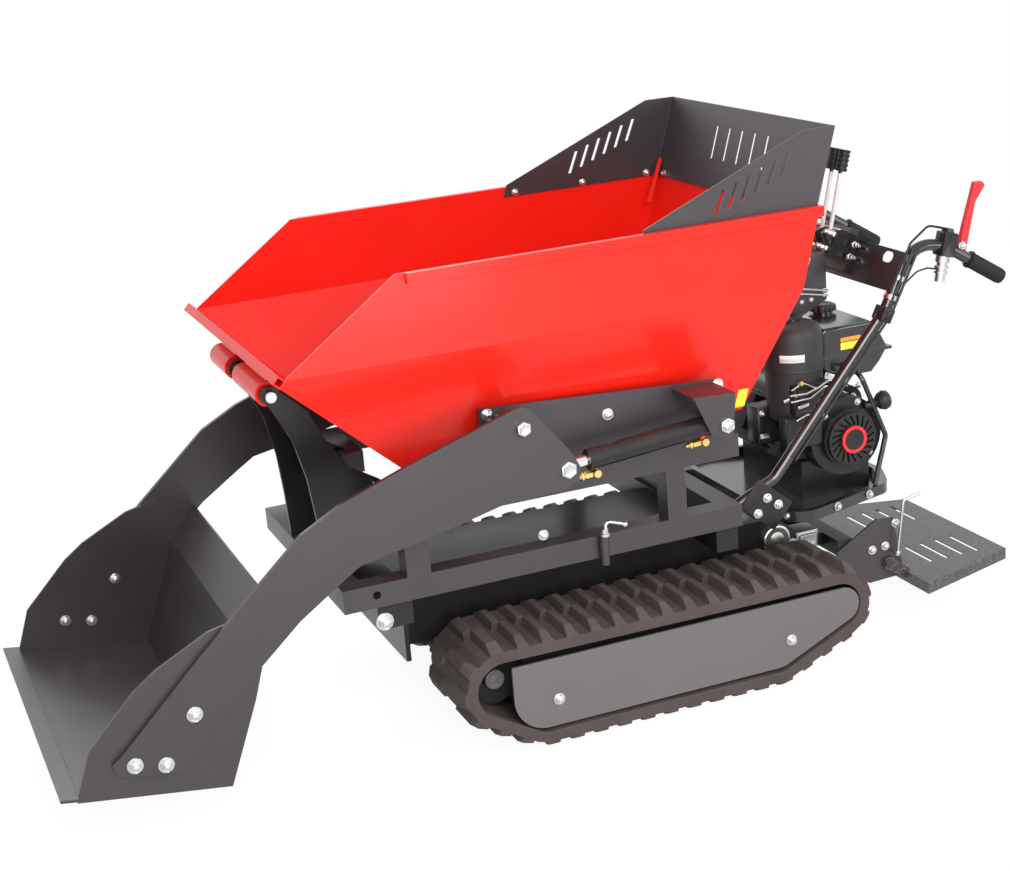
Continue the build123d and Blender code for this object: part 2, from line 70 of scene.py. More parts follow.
bpy.ops.object.select_all(action="DESELECT")

# %% [markdown]
# ## Shader groups: what paint, rubber and steel have in common
# Real paint rubs thin along edges, has a faint orange peel and gathers a little
# dust on faces that look up. Each effect is built once as a group with named
# sockets, and each finish then sets its own values. A group gives only masks
# and heights; the shader itself stays in the material.

# %% A helper that makes an empty group
def new_group(title, inputs, outputs):
    group = bpy.data.node_groups.new(title, "ShaderNodeTree")
    for name, kind, value in inputs:
        socket = group.interface.new_socket(name, in_out="INPUT", socket_type=kind)
        socket.default_value = value
    for name, kind in outputs:
        group.interface.new_socket(name, in_out="OUTPUT", socket_type=kind)
    return group, group.nodes.new("NodeGroupInput"), group.nodes.new("NodeGroupOutput")


def math_node(tree, operation, a, b=None):
    node = tree.nodes.new("ShaderNodeMath")
    node.operation = operation
    for socket, value in zip(node.inputs, (a, b)):
        if value is None:
            continue
        if isinstance(value, (int, float)):
            socket.default_value = value
        else:
            tree.links.new(value, socket)
    return node.outputs[0]


print("group helpers: new_group, math_node")

# %% Edge wear: where a rounded normal leaves the flat one, the corner is worn
edge_wear, start, end = new_group(
    "Edge wear",
    [("Radius", "NodeSocketFloat", 0.002), ("Amount", "NodeSocketFloat", 1.0),
     ("Breakup", "NodeSocketFloat", 60.0)],
    [("Mask", "NodeSocketFloat"), ("Normal", "NodeSocketVector")])
bevel = edge_wear.nodes.new("ShaderNodeBevel")
bevel.samples = 4
edge_wear.links.new(start.outputs["Radius"], bevel.inputs["Radius"])
geometry = edge_wear.nodes.new("ShaderNodeNewGeometry")
compare = edge_wear.nodes.new("ShaderNodeVectorMath")
compare.operation = "DOT_PRODUCT"
edge_wear.links.new(bevel.outputs[0], compare.inputs[0])
edge_wear.links.new(geometry.outputs["Normal"], compare.inputs[1])
coords = edge_wear.nodes.new("ShaderNodeTexCoord")
patches = edge_wear.nodes.new("ShaderNodeTexNoise")
patches.inputs["Detail"].default_value = 3.0
edge_wear.links.new(coords.outputs["Object"], patches.inputs["Vector"])
edge_wear.links.new(start.outputs["Breakup"], patches.inputs["Scale"])
turned = math_node(edge_wear, "SUBTRACT", 1.0, compare.outputs["Value"])
sharp = math_node(edge_wear, "MULTIPLY", turned, 6.0)
broken = math_node(edge_wear, "POWER", patches.outputs[0], 2.0)
patchy = math_node(edge_wear, "MULTIPLY", sharp, broken)
worn = math_node(edge_wear, "MULTIPLY", patchy, start.outputs["Amount"])
edge_wear.links.new(math_node(edge_wear, "MINIMUM", worn, 1.0), end.inputs["Mask"])
edge_wear.links.new(bevel.outputs[0], end.inputs["Normal"])
print("group:", edge_wear.name)

# %% Surface grain: fine height for the bump, broad tone for the colour
surface_grain, start, end = new_group(
    "Surface grain",
    [("Fine scale", "NodeSocketFloat", 900.0), ("Broad scale", "NodeSocketFloat", 7.0)],
    [("Height", "NodeSocketFloat"), ("Tone", "NodeSocketFloat")])
coords = surface_grain.nodes.new("ShaderNodeTexCoord")
for socket, output, detail in (("Fine scale", "Height", 2.0), ("Broad scale", "Tone", 5.0)):
    noise = surface_grain.nodes.new("ShaderNodeTexNoise")
    noise.inputs["Detail"].default_value = detail
    surface_grain.links.new(coords.outputs["Object"], noise.inputs["Vector"])
    surface_grain.links.new(start.outputs[socket], noise.inputs["Scale"])
    surface_grain.links.new(noise.outputs[0], end.inputs[output])
print("group:", surface_grain.name)

# %% Dust: it settles on faces that look up, in uneven patches
settled_dust, start, end = new_group(
    "Settled dust",
    [("Amount", "NodeSocketFloat", 0.2), ("Patch scale", "NodeSocketFloat", 14.0)],
    [("Mask", "NodeSocketFloat")])
geometry = settled_dust.nodes.new("ShaderNodeNewGeometry")
upward = settled_dust.nodes.new("ShaderNodeSeparateXYZ")
settled_dust.links.new(geometry.outputs["Normal"], upward.inputs[0])
coords = settled_dust.nodes.new("ShaderNodeTexCoord")
patches = settled_dust.nodes.new("ShaderNodeTexNoise")
patches.inputs["Detail"].default_value = 6.0
settled_dust.links.new(coords.outputs["Object"], patches.inputs["Vector"])
settled_dust.links.new(start.outputs["Patch scale"], patches.inputs["Scale"])
lifted = math_node(settled_dust, "MAXIMUM", upward.outputs["Z"], 0.0)
uneven = math_node(settled_dust, "MULTIPLY", lifted, patches.outputs[0])
film = math_node(settled_dust, "MULTIPLY", uneven, start.outputs["Amount"])
settled_dust.links.new(film, end.inputs["Mask"])
print("group:", settled_dust.name)

# %% [markdown]
# ## Finishes
# Every finish is the same short chain: base colour with a faint tone, dust on
# top, bare metal or pale rubber where edges rub, and a bump from the grain.
# Values that are the same all over, such as metallic and coat, are set on the
# shader's own sockets.

# %% One function that mixes a finish from the three groups
DUST = (0.42, 0.38, 0.33, 1.0)
COAT_ROUGHNESS = 0.12
ROUGHNESS_SPREAD = 0.16
GRAIN_DEPTH = 0.001


def finish(title, colour, roughness, metallic=0.0, coat=0.0, worn_colour=(0.45, 0.44, 0.43),
           wear=0.5, radius=0.0015, grain=900.0, bump=0.05, tone=0.12, dust=0.15, broad=7.0, gleam=0.5):
    """A material: colour and tone, dust, worn edges and a fine grain."""
    material = bpy.data.materials.new(title)
    material.use_nodes = True
    tree = material.node_tree
    shader = tree.nodes["Principled BSDF"]
    shader.inputs["Metallic"].default_value = metallic
    shader.inputs["Coat Weight"].default_value = coat
    shader.inputs["Coat Roughness"].default_value = COAT_ROUGHNESS
    shader.inputs["Specular IOR Level"].default_value = gleam

    def group(source, **values):
        node = tree.nodes.new("ShaderNodeGroup")
        node.node_tree = source
        for name, value in values.items():
            node.inputs[name.replace("_", " ")].default_value = value
        return node

    def mix(factor, a, b):
        node = tree.nodes.new("ShaderNodeMix")
        node.data_type = "RGBA"
        tree.links.new(factor, node.inputs[0])
        for socket, value in ((node.inputs[6], a), (node.inputs[7], b)):
            if isinstance(value, tuple):
                socket.default_value = (*value[:3], 1.0)
            else:
                tree.links.new(value, socket)
        return node.outputs[2]

    edges = group(edge_wear, Radius=radius, Amount=wear)
    surface = group(surface_grain, Fine_scale=grain, Broad_scale=broad)
    film = group(settled_dust, Amount=dust)
    darker = tuple(c * (1.0 - tone) for c in colour)
    lighter = tuple(min(1.0, c * (1.0 + tone)) for c in colour)
    toned = mix(surface.outputs["Tone"], darker, lighter)
    dusty = mix(film.outputs["Mask"], toned, DUST)
    tree.links.new(mix(edges.outputs["Mask"], dusty, worn_colour), shader.inputs["Base Color"])
    spread = math_node(tree, "MULTIPLY", surface.outputs["Tone"], ROUGHNESS_SPREAD)
    uneven = math_node(tree, "ADD", spread, roughness - ROUGHNESS_SPREAD / 2)
    tree.links.new(uneven, shader.inputs["Roughness"])
    relief = tree.nodes.new("ShaderNodeBump")
    relief.inputs["Strength"].default_value = bump
    relief.inputs["Distance"].default_value = GRAIN_DEPTH
    tree.links.new(surface.outputs["Height"], relief.inputs["Height"])
    tree.links.new(edges.outputs["Normal"], relief.inputs["Normal"])
    tree.links.new(relief.outputs[0], shader.inputs["Normal"])
    return material


print("each finish mixes:", edge_wear.name, "+", surface_grain.name, "+", settled_dust.name)

# %% The machine's finishes
RED = finish("Red gloss paint", (0.84, 0.016, 0.008), 0.32, coat=0.18, wear=0.2,
             worn_colour=(0.6, 0.06, 0.04), tone=0.04, dust=0.02, bump=0.03, grain=500.0,
             gleam=0.22)
GREY = finish("Dark grey powder coat", (0.035, 0.029, 0.033), 0.36, wear=0.45,
              worn_colour=(0.26, 0.25, 0.26), tone=0.12, dust=0.06, grain=1400.0, bump=0.10,
              gleam=0.60)
BLACK = finish("Black satin paint", (0.0115, 0.0100, 0.0115), 0.32, coat=0.08, wear=0.25,
               worn_colour=(0.16, 0.15, 0.16), tone=0.10, dust=0.07, grain=1400.0, bump=0.08,
               gleam=0.35)
COVER = finish("Mid grey cover paint", (0.122, 0.110, 0.113), 0.45, wear=0.3, tone=0.06, dust=0.05,
               grain=1400.0, bump=0.08, gleam=0.4)
RUBBER = finish("Track rubber", (0.066, 0.050, 0.047), 0.75, wear=0.8,
                worn_colour=(0.17, 0.14, 0.13), radius=0.004, grain=420.0, bump=0.45, tone=0.35,
                dust=0.22, broad=18.0, gleam=0.3)
ZINC = finish("Zinc plated steel", (0.62, 0.62, 0.60), 0.30, metallic=1.0, wear=0.2,
              worn_colour=(0.8, 0.8, 0.78), tone=0.12, dust=0.05, grain=700.0, bump=0.06)
CHROME = finish("Polished chrome", (0.82, 0.82, 0.84), 0.12, metallic=1.0, wear=0.1,
                worn_colour=(0.9, 0.9, 0.9), tone=0.03, dust=0.03, bump=0.01)
PLASTIC = finish("Moulded black plastic", (0.0095, 0.0092, 0.0098), 0.38, wear=0.25,
                 worn_colour=(0.09, 0.09, 0.09), tone=0.12, dust=0.06, grain=1100.0, bump=0.16,
                 gleam=0.4)
ALLOY = finish("Cast alloy", (0.40, 0.40, 0.39), 0.45, metallic=1.0, wear=0.4,
               worn_colour=(0.7, 0.7, 0.7), tone=0.18, dust=0.12, grain=500.0, bump=0.30)
GRIP = finish("Grip rubber", (0.007, 0.007, 0.0075), 0.6, wear=0.2, worn_colour=(0.06, 0.06, 0.06),
              tone=0.08, dust=0.04, grain=600.0, bump=0.2, gleam=0.35)
LEVER = finish("Red lever sleeve", (0.66, 0.012, 0.02), 0.34, coat=0.2, wear=0.2,
               worn_colour=(0.8, 0.3, 0.3), tone=0.05, dust=0.03)
IRON = finish("Black cast iron", (0.014, 0.012, 0.013), 0.6, wear=0.5,
              worn_colour=(0.2, 0.19, 0.18), tone=0.25, dust=0.25, grain=350.0, bump=0.35,
              gleam=0.3)
GLOSS = finish("Black gloss paint", (0.0100, 0.0090, 0.0100), 0.20, coat=0.45, wear=0.25,
               worn_colour=(0.16, 0.15, 0.16), tone=0.10, dust=0.06, grain=900.0, bump=0.04,
               gleam=0.5)
TANK = finish("Glossy tank plastic", (0.010, 0.010, 0.012), 0.16, coat=0.6, wear=0.15,
              worn_colour=(0.10, 0.10, 0.11), tone=0.08, dust=0.05, grain=600.0, bump=0.02,
              gleam=0.5)
print("plain finishes made")

# %% Two finishes with a pattern: bare steel levers, and the anti-slip deck
BOOT_TOP, KNOB_FOOT = 0.972, 1.103
SPECKLE_SCALE, SPECKLE_FROM, SPECKLE_STRENGTH = 420.0, 0.62, 0.55


def change_colour(source, title, colour, mask_of):
    """A copy of a finish whose colour turns to another one where a mask is 1."""
    material = source.copy()
    material.name = title
    tree = material.node_tree
    shader = tree.nodes["Principled BSDF"]
    before = shader.inputs["Base Color"].links[0].from_socket
    node = tree.nodes.new("ShaderNodeMix")
    node.data_type = "RGBA"
    tree.links.new(mask_of(tree), node.inputs[0])
    tree.links.new(before, node.inputs[6])
    node.inputs[7].default_value = (*colour, 1.0)
    tree.links.new(node.outputs[2], shader.inputs["Base Color"])
    return material


def lever_band(tree):
    """1 between the valve's boots and its knobs, where the levers are bare steel."""
    coords = tree.nodes.new("ShaderNodeTexCoord")
    split = tree.nodes.new("ShaderNodeSeparateXYZ")
    tree.links.new(coords.outputs["Object"], split.inputs[0])
    above = math_node(tree, "GREATER_THAN", split.outputs["Z"], BOOT_TOP)
    below = math_node(tree, "LESS_THAN", split.outputs["Z"], KNOB_FOOT)
    return math_node(tree, "MULTIPLY", above, below)


def speckle(tree):
    """Pale grains scattered over an anti-slip coat."""
    coords = tree.nodes.new("ShaderNodeTexCoord")
    grains = tree.nodes.new("ShaderNodeTexNoise")
    grains.inputs["Scale"].default_value = SPECKLE_SCALE
    grains.inputs["Detail"].default_value = 1.0
    tree.links.new(coords.outputs["Object"], grains.inputs["Vector"])
    bright = math_node(tree, "GREATER_THAN", grains.outputs[0], SPECKLE_FROM)
    return math_node(tree, "MULTIPLY", bright, SPECKLE_STRENGTH)


VALVE = change_colour(BLACK, "Valve block with bare levers", (0.62, 0.62, 0.60), lever_band)
DECK = change_colour(GREY, "Anti-slip deck paint", (0.42, 0.41, 0.42), speckle)
slot_finish = {
    "red_paint": RED, "dark_grey_paint": GREY, "black_paint": BLACK, "grey_cover_paint": COVER,
    "track_rubber": RUBBER, "zinc_steel": ZINC, "chrome_rod": CHROME, "engine_plastic": PLASTIC,
    "engine_alloy": ALLOY, "grip_rubber": GRIP, "red_lever": LEVER, "wheel_iron": IRON}
print("finishes:", len(slot_finish))

# %% Paint every CAD node from the record's slots
for row in frame["record"]["subparts"]:
    node = nodes[row["node"]]
    node.data.materials.clear()
    node.data.materials.append(slot_finish[row["material_slot"]])
own_finish = {
    "engine_block": BLACK, "silencer": BLACK, "valve_block": VALVE, "platform": DECK, "fuel_tank": TANK,
    "engine_tray": GLOSS, "handlebar_left": GLOSS, "handlebar_right": GLOSS, "guard_bar": GLOSS}
for name, material in own_finish.items():
    nodes[name].data.materials[0] = material

# %% [markdown]
# ## Helpers for making pieces by hand
# A piece starts as a primitive at its size and place. Faces or edges are then
# picked by where they are, and an operator shapes them. Modifiers are applied
# at the end, and the object goes back to the origin with its place in its mesh.

# %% Steps in edit mode
def object_mode():
    bpy.ops.object.mode_set(mode="OBJECT")


def extrude(x, y, z):
    """Draw the selected faces out by a step in metres."""
    bpy.ops.mesh.extrude_region_move(TRANSFORM_OT_translate={"value": (x, y, z)})


def inset(thickness, depth):
    """A smaller face inside each selected one, raised or sunk by a depth."""
    bpy.ops.mesh.inset(thickness=thickness, depth=depth)


print("steps: object_mode, extrude, inset")

# %% Picking faces and edges by their place or normal
def begin(piece):
    """Make a piece the only one selected, in object mode."""
    if bpy.context.mode != "OBJECT":
        object_mode()
    bpy.ops.object.select_all(action="DESELECT")
    piece.select_set(True)
    bpy.context.view_layer.objects.active = piece


def pick_faces(piece, wanted):
    """Leave the piece in edit mode with just the wanted faces selected."""
    begin(piece)
    mesh = piece.data
    for part in (mesh.vertices, mesh.edges):
        part.foreach_set("select", [False] * len(part))
    mesh.polygons.foreach_set("select", [bool(wanted(f.center, f.normal)) for f in mesh.polygons])
    bpy.ops.object.mode_set(mode="EDIT")
    bpy.ops.mesh.select_mode(type="FACE")


def pick_top(piece):
    pick_faces(piece, lambda c, n: n.z > 0.9)


def pick_edges(piece, wanted):
    """Leave the piece in edit mode with just the wanted edges selected."""
    begin(piece)
    mesh = piece.data
    corners = [v.co for v in mesh.vertices]
    mesh.polygons.foreach_set("select", [False] * len(mesh.polygons))
    mesh.vertices.foreach_set("select", [False] * len(mesh.vertices))
    chosen = [bool(wanted(corners[e.vertices[0]], corners[e.vertices[1]])) for e in mesh.edges]
    mesh.edges.foreach_set("select", chosen)
    bpy.ops.object.mode_set(mode="EDIT")
    bpy.ops.mesh.select_mode(type="EDGE")


print("picking: pick_faces, pick_top, pick_edges")

# %% Closing a piece off: clean normals, finish, and the body that carries it
def close_off(piece, name, body, material, smooth=35.0):
    """Name it, smooth it, paint it, and let it ride on its body."""
    begin(piece)
    bpy.ops.object.transform_apply(location=True, rotation=True, scale=True)
    bpy.ops.object.mode_set(mode="EDIT")
    bpy.ops.mesh.select_all(action="SELECT")
    bpy.ops.mesh.remove_doubles(threshold=0.00001)
    bpy.ops.mesh.normals_make_consistent(inside=False)
    object_mode()
    bpy.ops.object.shade_smooth_by_angle(angle=radians(smooth))
    piece.name = name
    piece.data.name = name
    piece.data.materials.clear()
    piece.data.materials.append(material)
    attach(piece, body)
    return piece


print("close_off puts a piece's place into its mesh")

# %% Primitives to start from, and softened edges
def cylinder(radius, length, vertices=24, spot=(0, 0, 0), turn=(0, 0, 0)):
    """A cylinder standing on Z, with its middle at a spot."""
    bpy.ops.object.select_all(action="DESELECT")
    bpy.ops.mesh.primitive_cylinder_add(radius=radius, depth=length, vertices=vertices, location=spot,
                                        rotation=turn)
    return bpy.context.active_object


def block(size, spot=(0, 0, 0), turn=(0, 0, 0)):
    """A box of a size, with its middle at a spot."""
    bpy.ops.object.select_all(action="DESELECT")
    bpy.ops.mesh.primitive_cube_add(size=1.0, location=spot, rotation=turn)
    piece = bpy.context.active_object
    piece.scale = size
    bpy.ops.object.transform_apply(location=False, rotation=False, scale=True)
    return piece


def soften(piece, width, segments=2, angle=30.0):
    """Round a piece's edges with an applied bevel."""
    begin(piece)
    modifier = piece.modifiers.new("Soft edges", "BEVEL")
    modifier.width = width
    modifier.segments = segments
    modifier.limit_method = "ANGLE"
    modifier.angle_limit = radians(angle)
    bpy.ops.object.modifier_apply(modifier=modifier.name)
    return piece


print("starts: cylinder, block")

# %% Joining pieces, and copying a pattern
def join(pieces):
    """Join pieces into the first of them."""
    begin(pieces[0])
    for piece in pieces:
        piece.select_set(True)
    bpy.context.view_layer.objects.active = pieces[0]
    bpy.ops.object.join()
    return pieces[0]


def facing(direction):
    """The turn that stands a piece's Z axis along a direction."""
    return Vector(direction).to_track_quat("Z", "Y").to_matrix().to_4x4()


def copies(pattern, places):
    """Copies of a pattern, each with its own mesh, at (point, direction, scale) places."""
    made = []
    for point, direction, scale in places:
        piece = pattern.copy()
        piece.data = pattern.data.copy()
        bpy.context.collection.objects.link(piece)
        piece.data.transform(Matrix.Translation(point) @ facing(direction) @ Matrix.Scale(scale, 4))
        made.append(piece)
    return made


print("repeats: join, copies")

# %% Places: millimetres, with heights over the frame's datum line
DATUM = 20.0


def at(x, y, z):
    """A place in metres, from millimetres and a height over the frame's datum line."""
    return Vector((x, y, z + DATUM)) / 1000.0


print("datum line over the ground:", at(0, 0, 0).z, "m")


# %% [markdown]
# ## Hex bolts and washers
# An M12 head is 18 mm across its flats and 7.5 mm high, with its corners
# turned off at 30 degrees and a small dished top. One is modelled from a
# six-sided cylinder: the top is inset and dropped, and its rim is bevelled. A
# washer and the end of the shank are cylinders joined to it. All the others are
# copies of it.

# %% One bolt head with its washer
def bolt_pattern():
    """A hexagon head with its washer and the end of its shank, standing on Z = 0."""
    head = cylinder(0.0104, 0.0075, 6, spot=(0, 0, 0.0061))
    pick_top(head)
    inset(0.0012, 0.0)
    bpy.ops.transform.translate(value=(0, 0, 0.0007))
    inset(0.0035, -0.0009)
    object_mode()
    washer = cylinder(0.0135, 0.0024, 28, spot=(0, 0, 0.0012))
    soften(washer, 0.0005, 1)
    shank = cylinder(0.0060, 0.0040, 16, spot=(0, 0, 0.0112))
    pick_top(shank)
    inset(0.0012, 0.0008)
    object_mode()
    pattern = join([head, washer, shank])
    begin(pattern)
    bpy.ops.object.transform_apply(location=True, rotation=True, scale=True)
    return pattern


bolt = bolt_pattern()
print("bolt triangles:", sum(len(f.vertices) - 2 for f in bolt.data.polygons))

# %% Bolts on the undercarriage, frame, tray and engine
LEFT, UP = (0, 1, 0), (0, 0, 1)
SIDES = (1, -1)
cover_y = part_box("track_cover_left")[1][1] * 1000
arm_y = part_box("arm_left")[1][1] * 1000


def sideways(side):
    return (0, side, 0)


def pair(x, y, z, scale=1.0):
    """The same bolt on the left and on the right side."""
    return [(at(x, side * y, z), sideways(side), scale) for side in SIDES]


def pairs(spots, y, scale=1.0):
    return [spot for x, z in spots for spot in pair(x, y, z, scale)]


cover_bolts = pairs(((111, 97), (-471, 98)), cover_y)
bracket_bolts = pairs(((193, 742), (-84, 692), (-354, 711)), 323)
hanger_bolts = pairs(((-815, 180), (-852, 183), (-882, 236)), 206, 0.85)
post_bolts = pairs(((84, 446),), 315, 0.9)
rail_pins = pair(457, 300, 324, 1.5) + pair(-316, 420, 650, 1.7)
foot_bolts = pairs(((-488, 405), (-516, 384), (-462, 372)), 285, 0.85)
lever_bolt = [(at(-1034, 273, 912), LEFT, 0.75)]
tray_bolts = [(at(x, y, 336), out, 0.8) for x, y, out in (
    (-560, 248, (0.8, 0.8, 0)), (-688, 261, (-0.3, 1, 0)), (-794, 231, (-0.3, 1, 0)))]
engine_screws = [(at(*spot), LEFT, 0.62) for spot in (
    (-743, 152, 622), (-772, 152, 607), (-822, 150, 585), (-807, 150, 560), (-706, 152, 519),
    (-574, 122, 552), (-604, 122, 542), (-616, 122, 534), (-790, 196, 560), (-700, 196, 540),
    (-820, 196, 430))]
chassis_bolts = (cover_bolts + bracket_bolts + hanger_bolts + post_bolts + rail_pins + foot_bolts
                 + lever_bolt + tray_bolts + engine_screws)

print("chassis bolts:", len(chassis_bolts))

# %% Bolts on the loader and the skip, and all three sets placed
cheek_spots = ((1040, 200), (979, 186), (909, 279))
cheek_inside = 419.6
loader_bolts = pairs(cheek_spots, arm_y, 1.25)
loader_bolts += [(at(x, side * cheek_inside, z), sideways(-side), 1.0)
                 for side in SIDES for x, z in cheek_spots]

skip_half_width, guard_gap = 386, 8
guard_inside = skip_half_width - guard_gap
skip_bolts = [(at(x, side * guard_inside, 1071), sideways(-side), 0.7)
              for side in (-1, 1) for x in (-188, -370, -548)]
skip_bolts += [(at(-580, y, 1070), (1, 0, 0), 0.7) for y in (-340, 0, 340)]
for group_name, places, body in (("bolts_chassis", chassis_bolts, "chassis"),
                                 ("bolts_loader", loader_bolts, "loader"),
                                 ("bolts_skip", skip_bolts, "skip")):
    close_off(join(copies(bolt, places)), group_name, body, ZINC)
    print(group_name, len(places))
bpy.data.objects.remove(bolt)

# %% [markdown]
# ## Rods, pipes and cables
# A bent rod is bought straight and bent on a former. It is made the same way
# here: a small disc stands at the first point, it is extruded along each
# straight run, and it is spun round the centre of each bend.

# %% A helper that bends a rod through its points
def bent_rod(points, radius, bend, sides=12):
    """A round rod through points, with bends of one radius."""
    heading = (points[1] - points[0]).normalized()
    bpy.ops.object.select_all(action="DESELECT")
    bpy.ops.mesh.primitive_circle_add(vertices=sides, radius=radius, fill_type="NGON", location=points[0],
                                      rotation=heading.to_track_quat("Z", "Y").to_euler())
    rod = bpy.context.active_object
    bpy.ops.object.transform_apply(location=True, rotation=True, scale=True)
    bpy.ops.object.mode_set(mode="EDIT")
    bpy.ops.mesh.select_mode(type="FACE")
    bpy.ops.mesh.select_all(action="SELECT")
    reached = points[0]
    for k in range(1, len(points)):
        ahead = (points[k] - points[k - 1]).normalized()
        stop = points[k]
        if k + 1 < len(points):
            after = (points[k + 1] - points[k]).normalized()
            turn = ahead.angle(after)
            back = bend * tan(turn / 2)
            stop = points[k] - ahead * back
        extrude(*(stop - reached))
        if k + 1 < len(points):
            axis = ahead.cross(after).normalized()
            bpy.ops.mesh.spin(steps=max(2, round(turn / 0.3)), angle=-turn,
                              center=stop + axis.cross(ahead) * bend, axis=axis)
            reached = points[k] + after * back
    object_mode()
    return rod


print("bent_rod ready")

# %% A ring, and copies joined into one piece
def ring(radius, width, edge, vertices=32):
    """A band lying flat at the origin, with rounded rims."""
    band = cylinder(radius, width, vertices)
    soften(band, edge, 2, 40)
    return band


def place(pattern, places, name, body, material, keep=False):
    """Join copies of a pattern at its places into one finished piece."""
    piece = close_off(join(copies(pattern, places)), name, body, material)
    if not keep:
        bpy.data.objects.remove(pattern)
    return piece


print("ring and place ready")


# %% [markdown]
# ## Pins and nuts of the loader
# Each arm turns on a thick pin that ends in a large bolt head, and each lift
# ram holds its arm by a pin with a castle nut. The nut is a six-sided cylinder
# whose top is inset and drawn up into a collar. A boolean could cut the collar
# too, but insets leave cleaner faces for the bevel.

# %% Large nuts and the arm pivots
big_nut = cylinder(0.019, 0.013, 6, spot=(0, 0, 0.0065))
pick_top(big_nut)
inset(0.0045, 0.0)
extrude(0, 0, 0.005)
inset(0.003, -0.002)
object_mode()
soften(big_nut, 0.0007, 2)
arm_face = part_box("arm_left")[1][1]
place(big_nut, [(Vector((0.065, side * arm_face, 0.640)), sideways(side), 1.0) for side in SIDES],
      "ram_pin_nuts", "loader", ZINC, keep=True)
pivot_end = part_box("loader_bracket_left")[1][1]
place(big_nut, [(Vector((0.160, side * (pivot_end - 0.002), 0.749)), sideways(side), 0.85) for side in SIDES],
      "arm_pivot_nuts", "chassis", ZINC)
print("nuts on the loader: 4")

# %% [markdown]
# ## Hose fittings on the lift rams
# Each ram takes its oil through a brass banjo near each end: a hexagon body, a
# turned ring and a short hose tail. They're turned from bar stock, so they're
# built from cylinders whose ends are inset and drawn out in steps.

# %% Brass fittings, along the underside of each ram
BRASS = finish("Yellow plated brass", (0.80, 0.62, 0.22), 0.28, metallic=1.0, wear=0.2,
               worn_colour=(0.9, 0.8, 0.5), tone=0.10, dust=0.03, grain=700.0, bump=0.05)
fitting = cylinder(0.0095, 0.018, 6)
for up in (1, -1):
    pick_faces(fitting, lambda c, n: n.z * up > 0.9)
    inset(0.0022, 0.0)
    extrude(0, 0, 0.010 * up)
    inset(0.0015, 0.0)
    extrude(0, 0, 0.006 * up)
    object_mode()
collar = cylinder(0.0105, 0.005, 20, spot=(0, 0, 0.014))
eyes = []
for height in (0.010, -0.006):
    eye = cylinder(0.0085, 0.007, 20, spot=(height, 0, -0.019), turn=(0, radians(90), 0))
    pick_faces(eye, lambda c, n: abs(n.x) > 0.9)
    inset(0.0035, -0.0015)
    object_mode()
    eyes.append(eye)
fitting = join([fitting, collar] + eyes)
begin(fitting)
bpy.ops.object.transform_apply(location=True, rotation=True, scale=True)
soften(fitting, 0.0005, 1)
ram_pin, rod_pin = at(-316, 396, 650), at(65, 396, 620)
ram_line = (rod_pin - ram_pin).normalized()
below = Vector((ram_line.z, 0, -ram_line.x))
for side, hand in ((1, "left"), (-1, "right")):
    body = f"lift_barrel_{hand}"
    spots = [ram_pin + ram_line * reach + below * 0.032 for reach in (0.065, 0.325)]
    spots = [Vector((p.x, side * (p.y + 0.004), p.z)) for p in spots]
    place(fitting, [(p, ram_line, 1.0) for p in spots], f"ram_fittings_{hand}", body, BRASS,
          keep=True)
    port = ring(0.0075, 0.014, 0.0015, 20)
    place(port, [(at(-268, side * 404, 628), (-0.3, side * 0.5, -0.6), 1.0)], f"port_plug_{hand}",
          body, LEVER)
bpy.data.objects.remove(fitting)
print("brass fittings: 4")

# %% [markdown]
# ## The locking pin on the side rail
# An L-shaped pin drops through a tube welded to the near rail. It's bent from
# 9 mm bar, rests on a turned collar, and has a ball on its handle to pull by.
# A bevelled curve could draw the bar, but spun bends are exact and stay a mesh.

# %% L-pin with its tube, collar and ball
shank = bent_rod([at(-56, 325, 372), at(-61, 325, 450), at(-106, 323, 434)], 0.0045, 0.008, 14)
seat = cylinder(0.0115, 0.008, 24, spot=at(-58, 325, 420))
pick_top(seat)
inset(0.003, 0.0)
extrude(0, 0, 0.010)
object_mode()
soften(seat, 0.0008, 1)
bpy.ops.object.select_all(action="DESELECT")
bpy.ops.mesh.primitive_uv_sphere_add(radius=0.0078, segments=20, ring_count=12, location=at(-108, 323, 433))
ball = bpy.context.active_object
pick_faces(ball, lambda c, n: c.x < -0.004)
bpy.ops.transform.resize(value=(0.9, 0.9, 0.9))
object_mode()
close_off(join([shank, seat, ball]), "rail_locking_pin", "chassis", ZINC)
sleeve = cylinder(0.0105, 0.066, 28, spot=at(-55, 325, 383))
pick_faces(sleeve, lambda c, n: abs(n.z) > 0.9)
inset(0.004, -0.004)
object_mode()
soften(sleeve, 0.0008, 1)
close_off(sleeve, "rail_pin_sleeve", "chassis", GREY)
print("rail locking pin")

# %% [markdown]
# ## Cables and clamps on the left handlebar
# The clutch and throttle cables run down the left tube, held by zinc bands.
# Each cable is a thin black rod, bent along the tube a finger's width away. The
# cables are clipped and don't hang, so a rod holds their shape well.

# %% The tube's run, and a cable that follows it
def beside(route, sideways_by, up_by):
    """A route moved off the tube's middle line, out to one side and square to its slope."""
    moved = []
    for k, point in enumerate(route):
        ahead = (route[min(k + 1, len(route) - 1)] - route[max(k - 1, 0)]).normalized()
        square = Vector((-ahead.z, 0, ahead.x))
        moved.append(point + Vector((0, sideways_by, 0)) + square * up_by)
    return moved


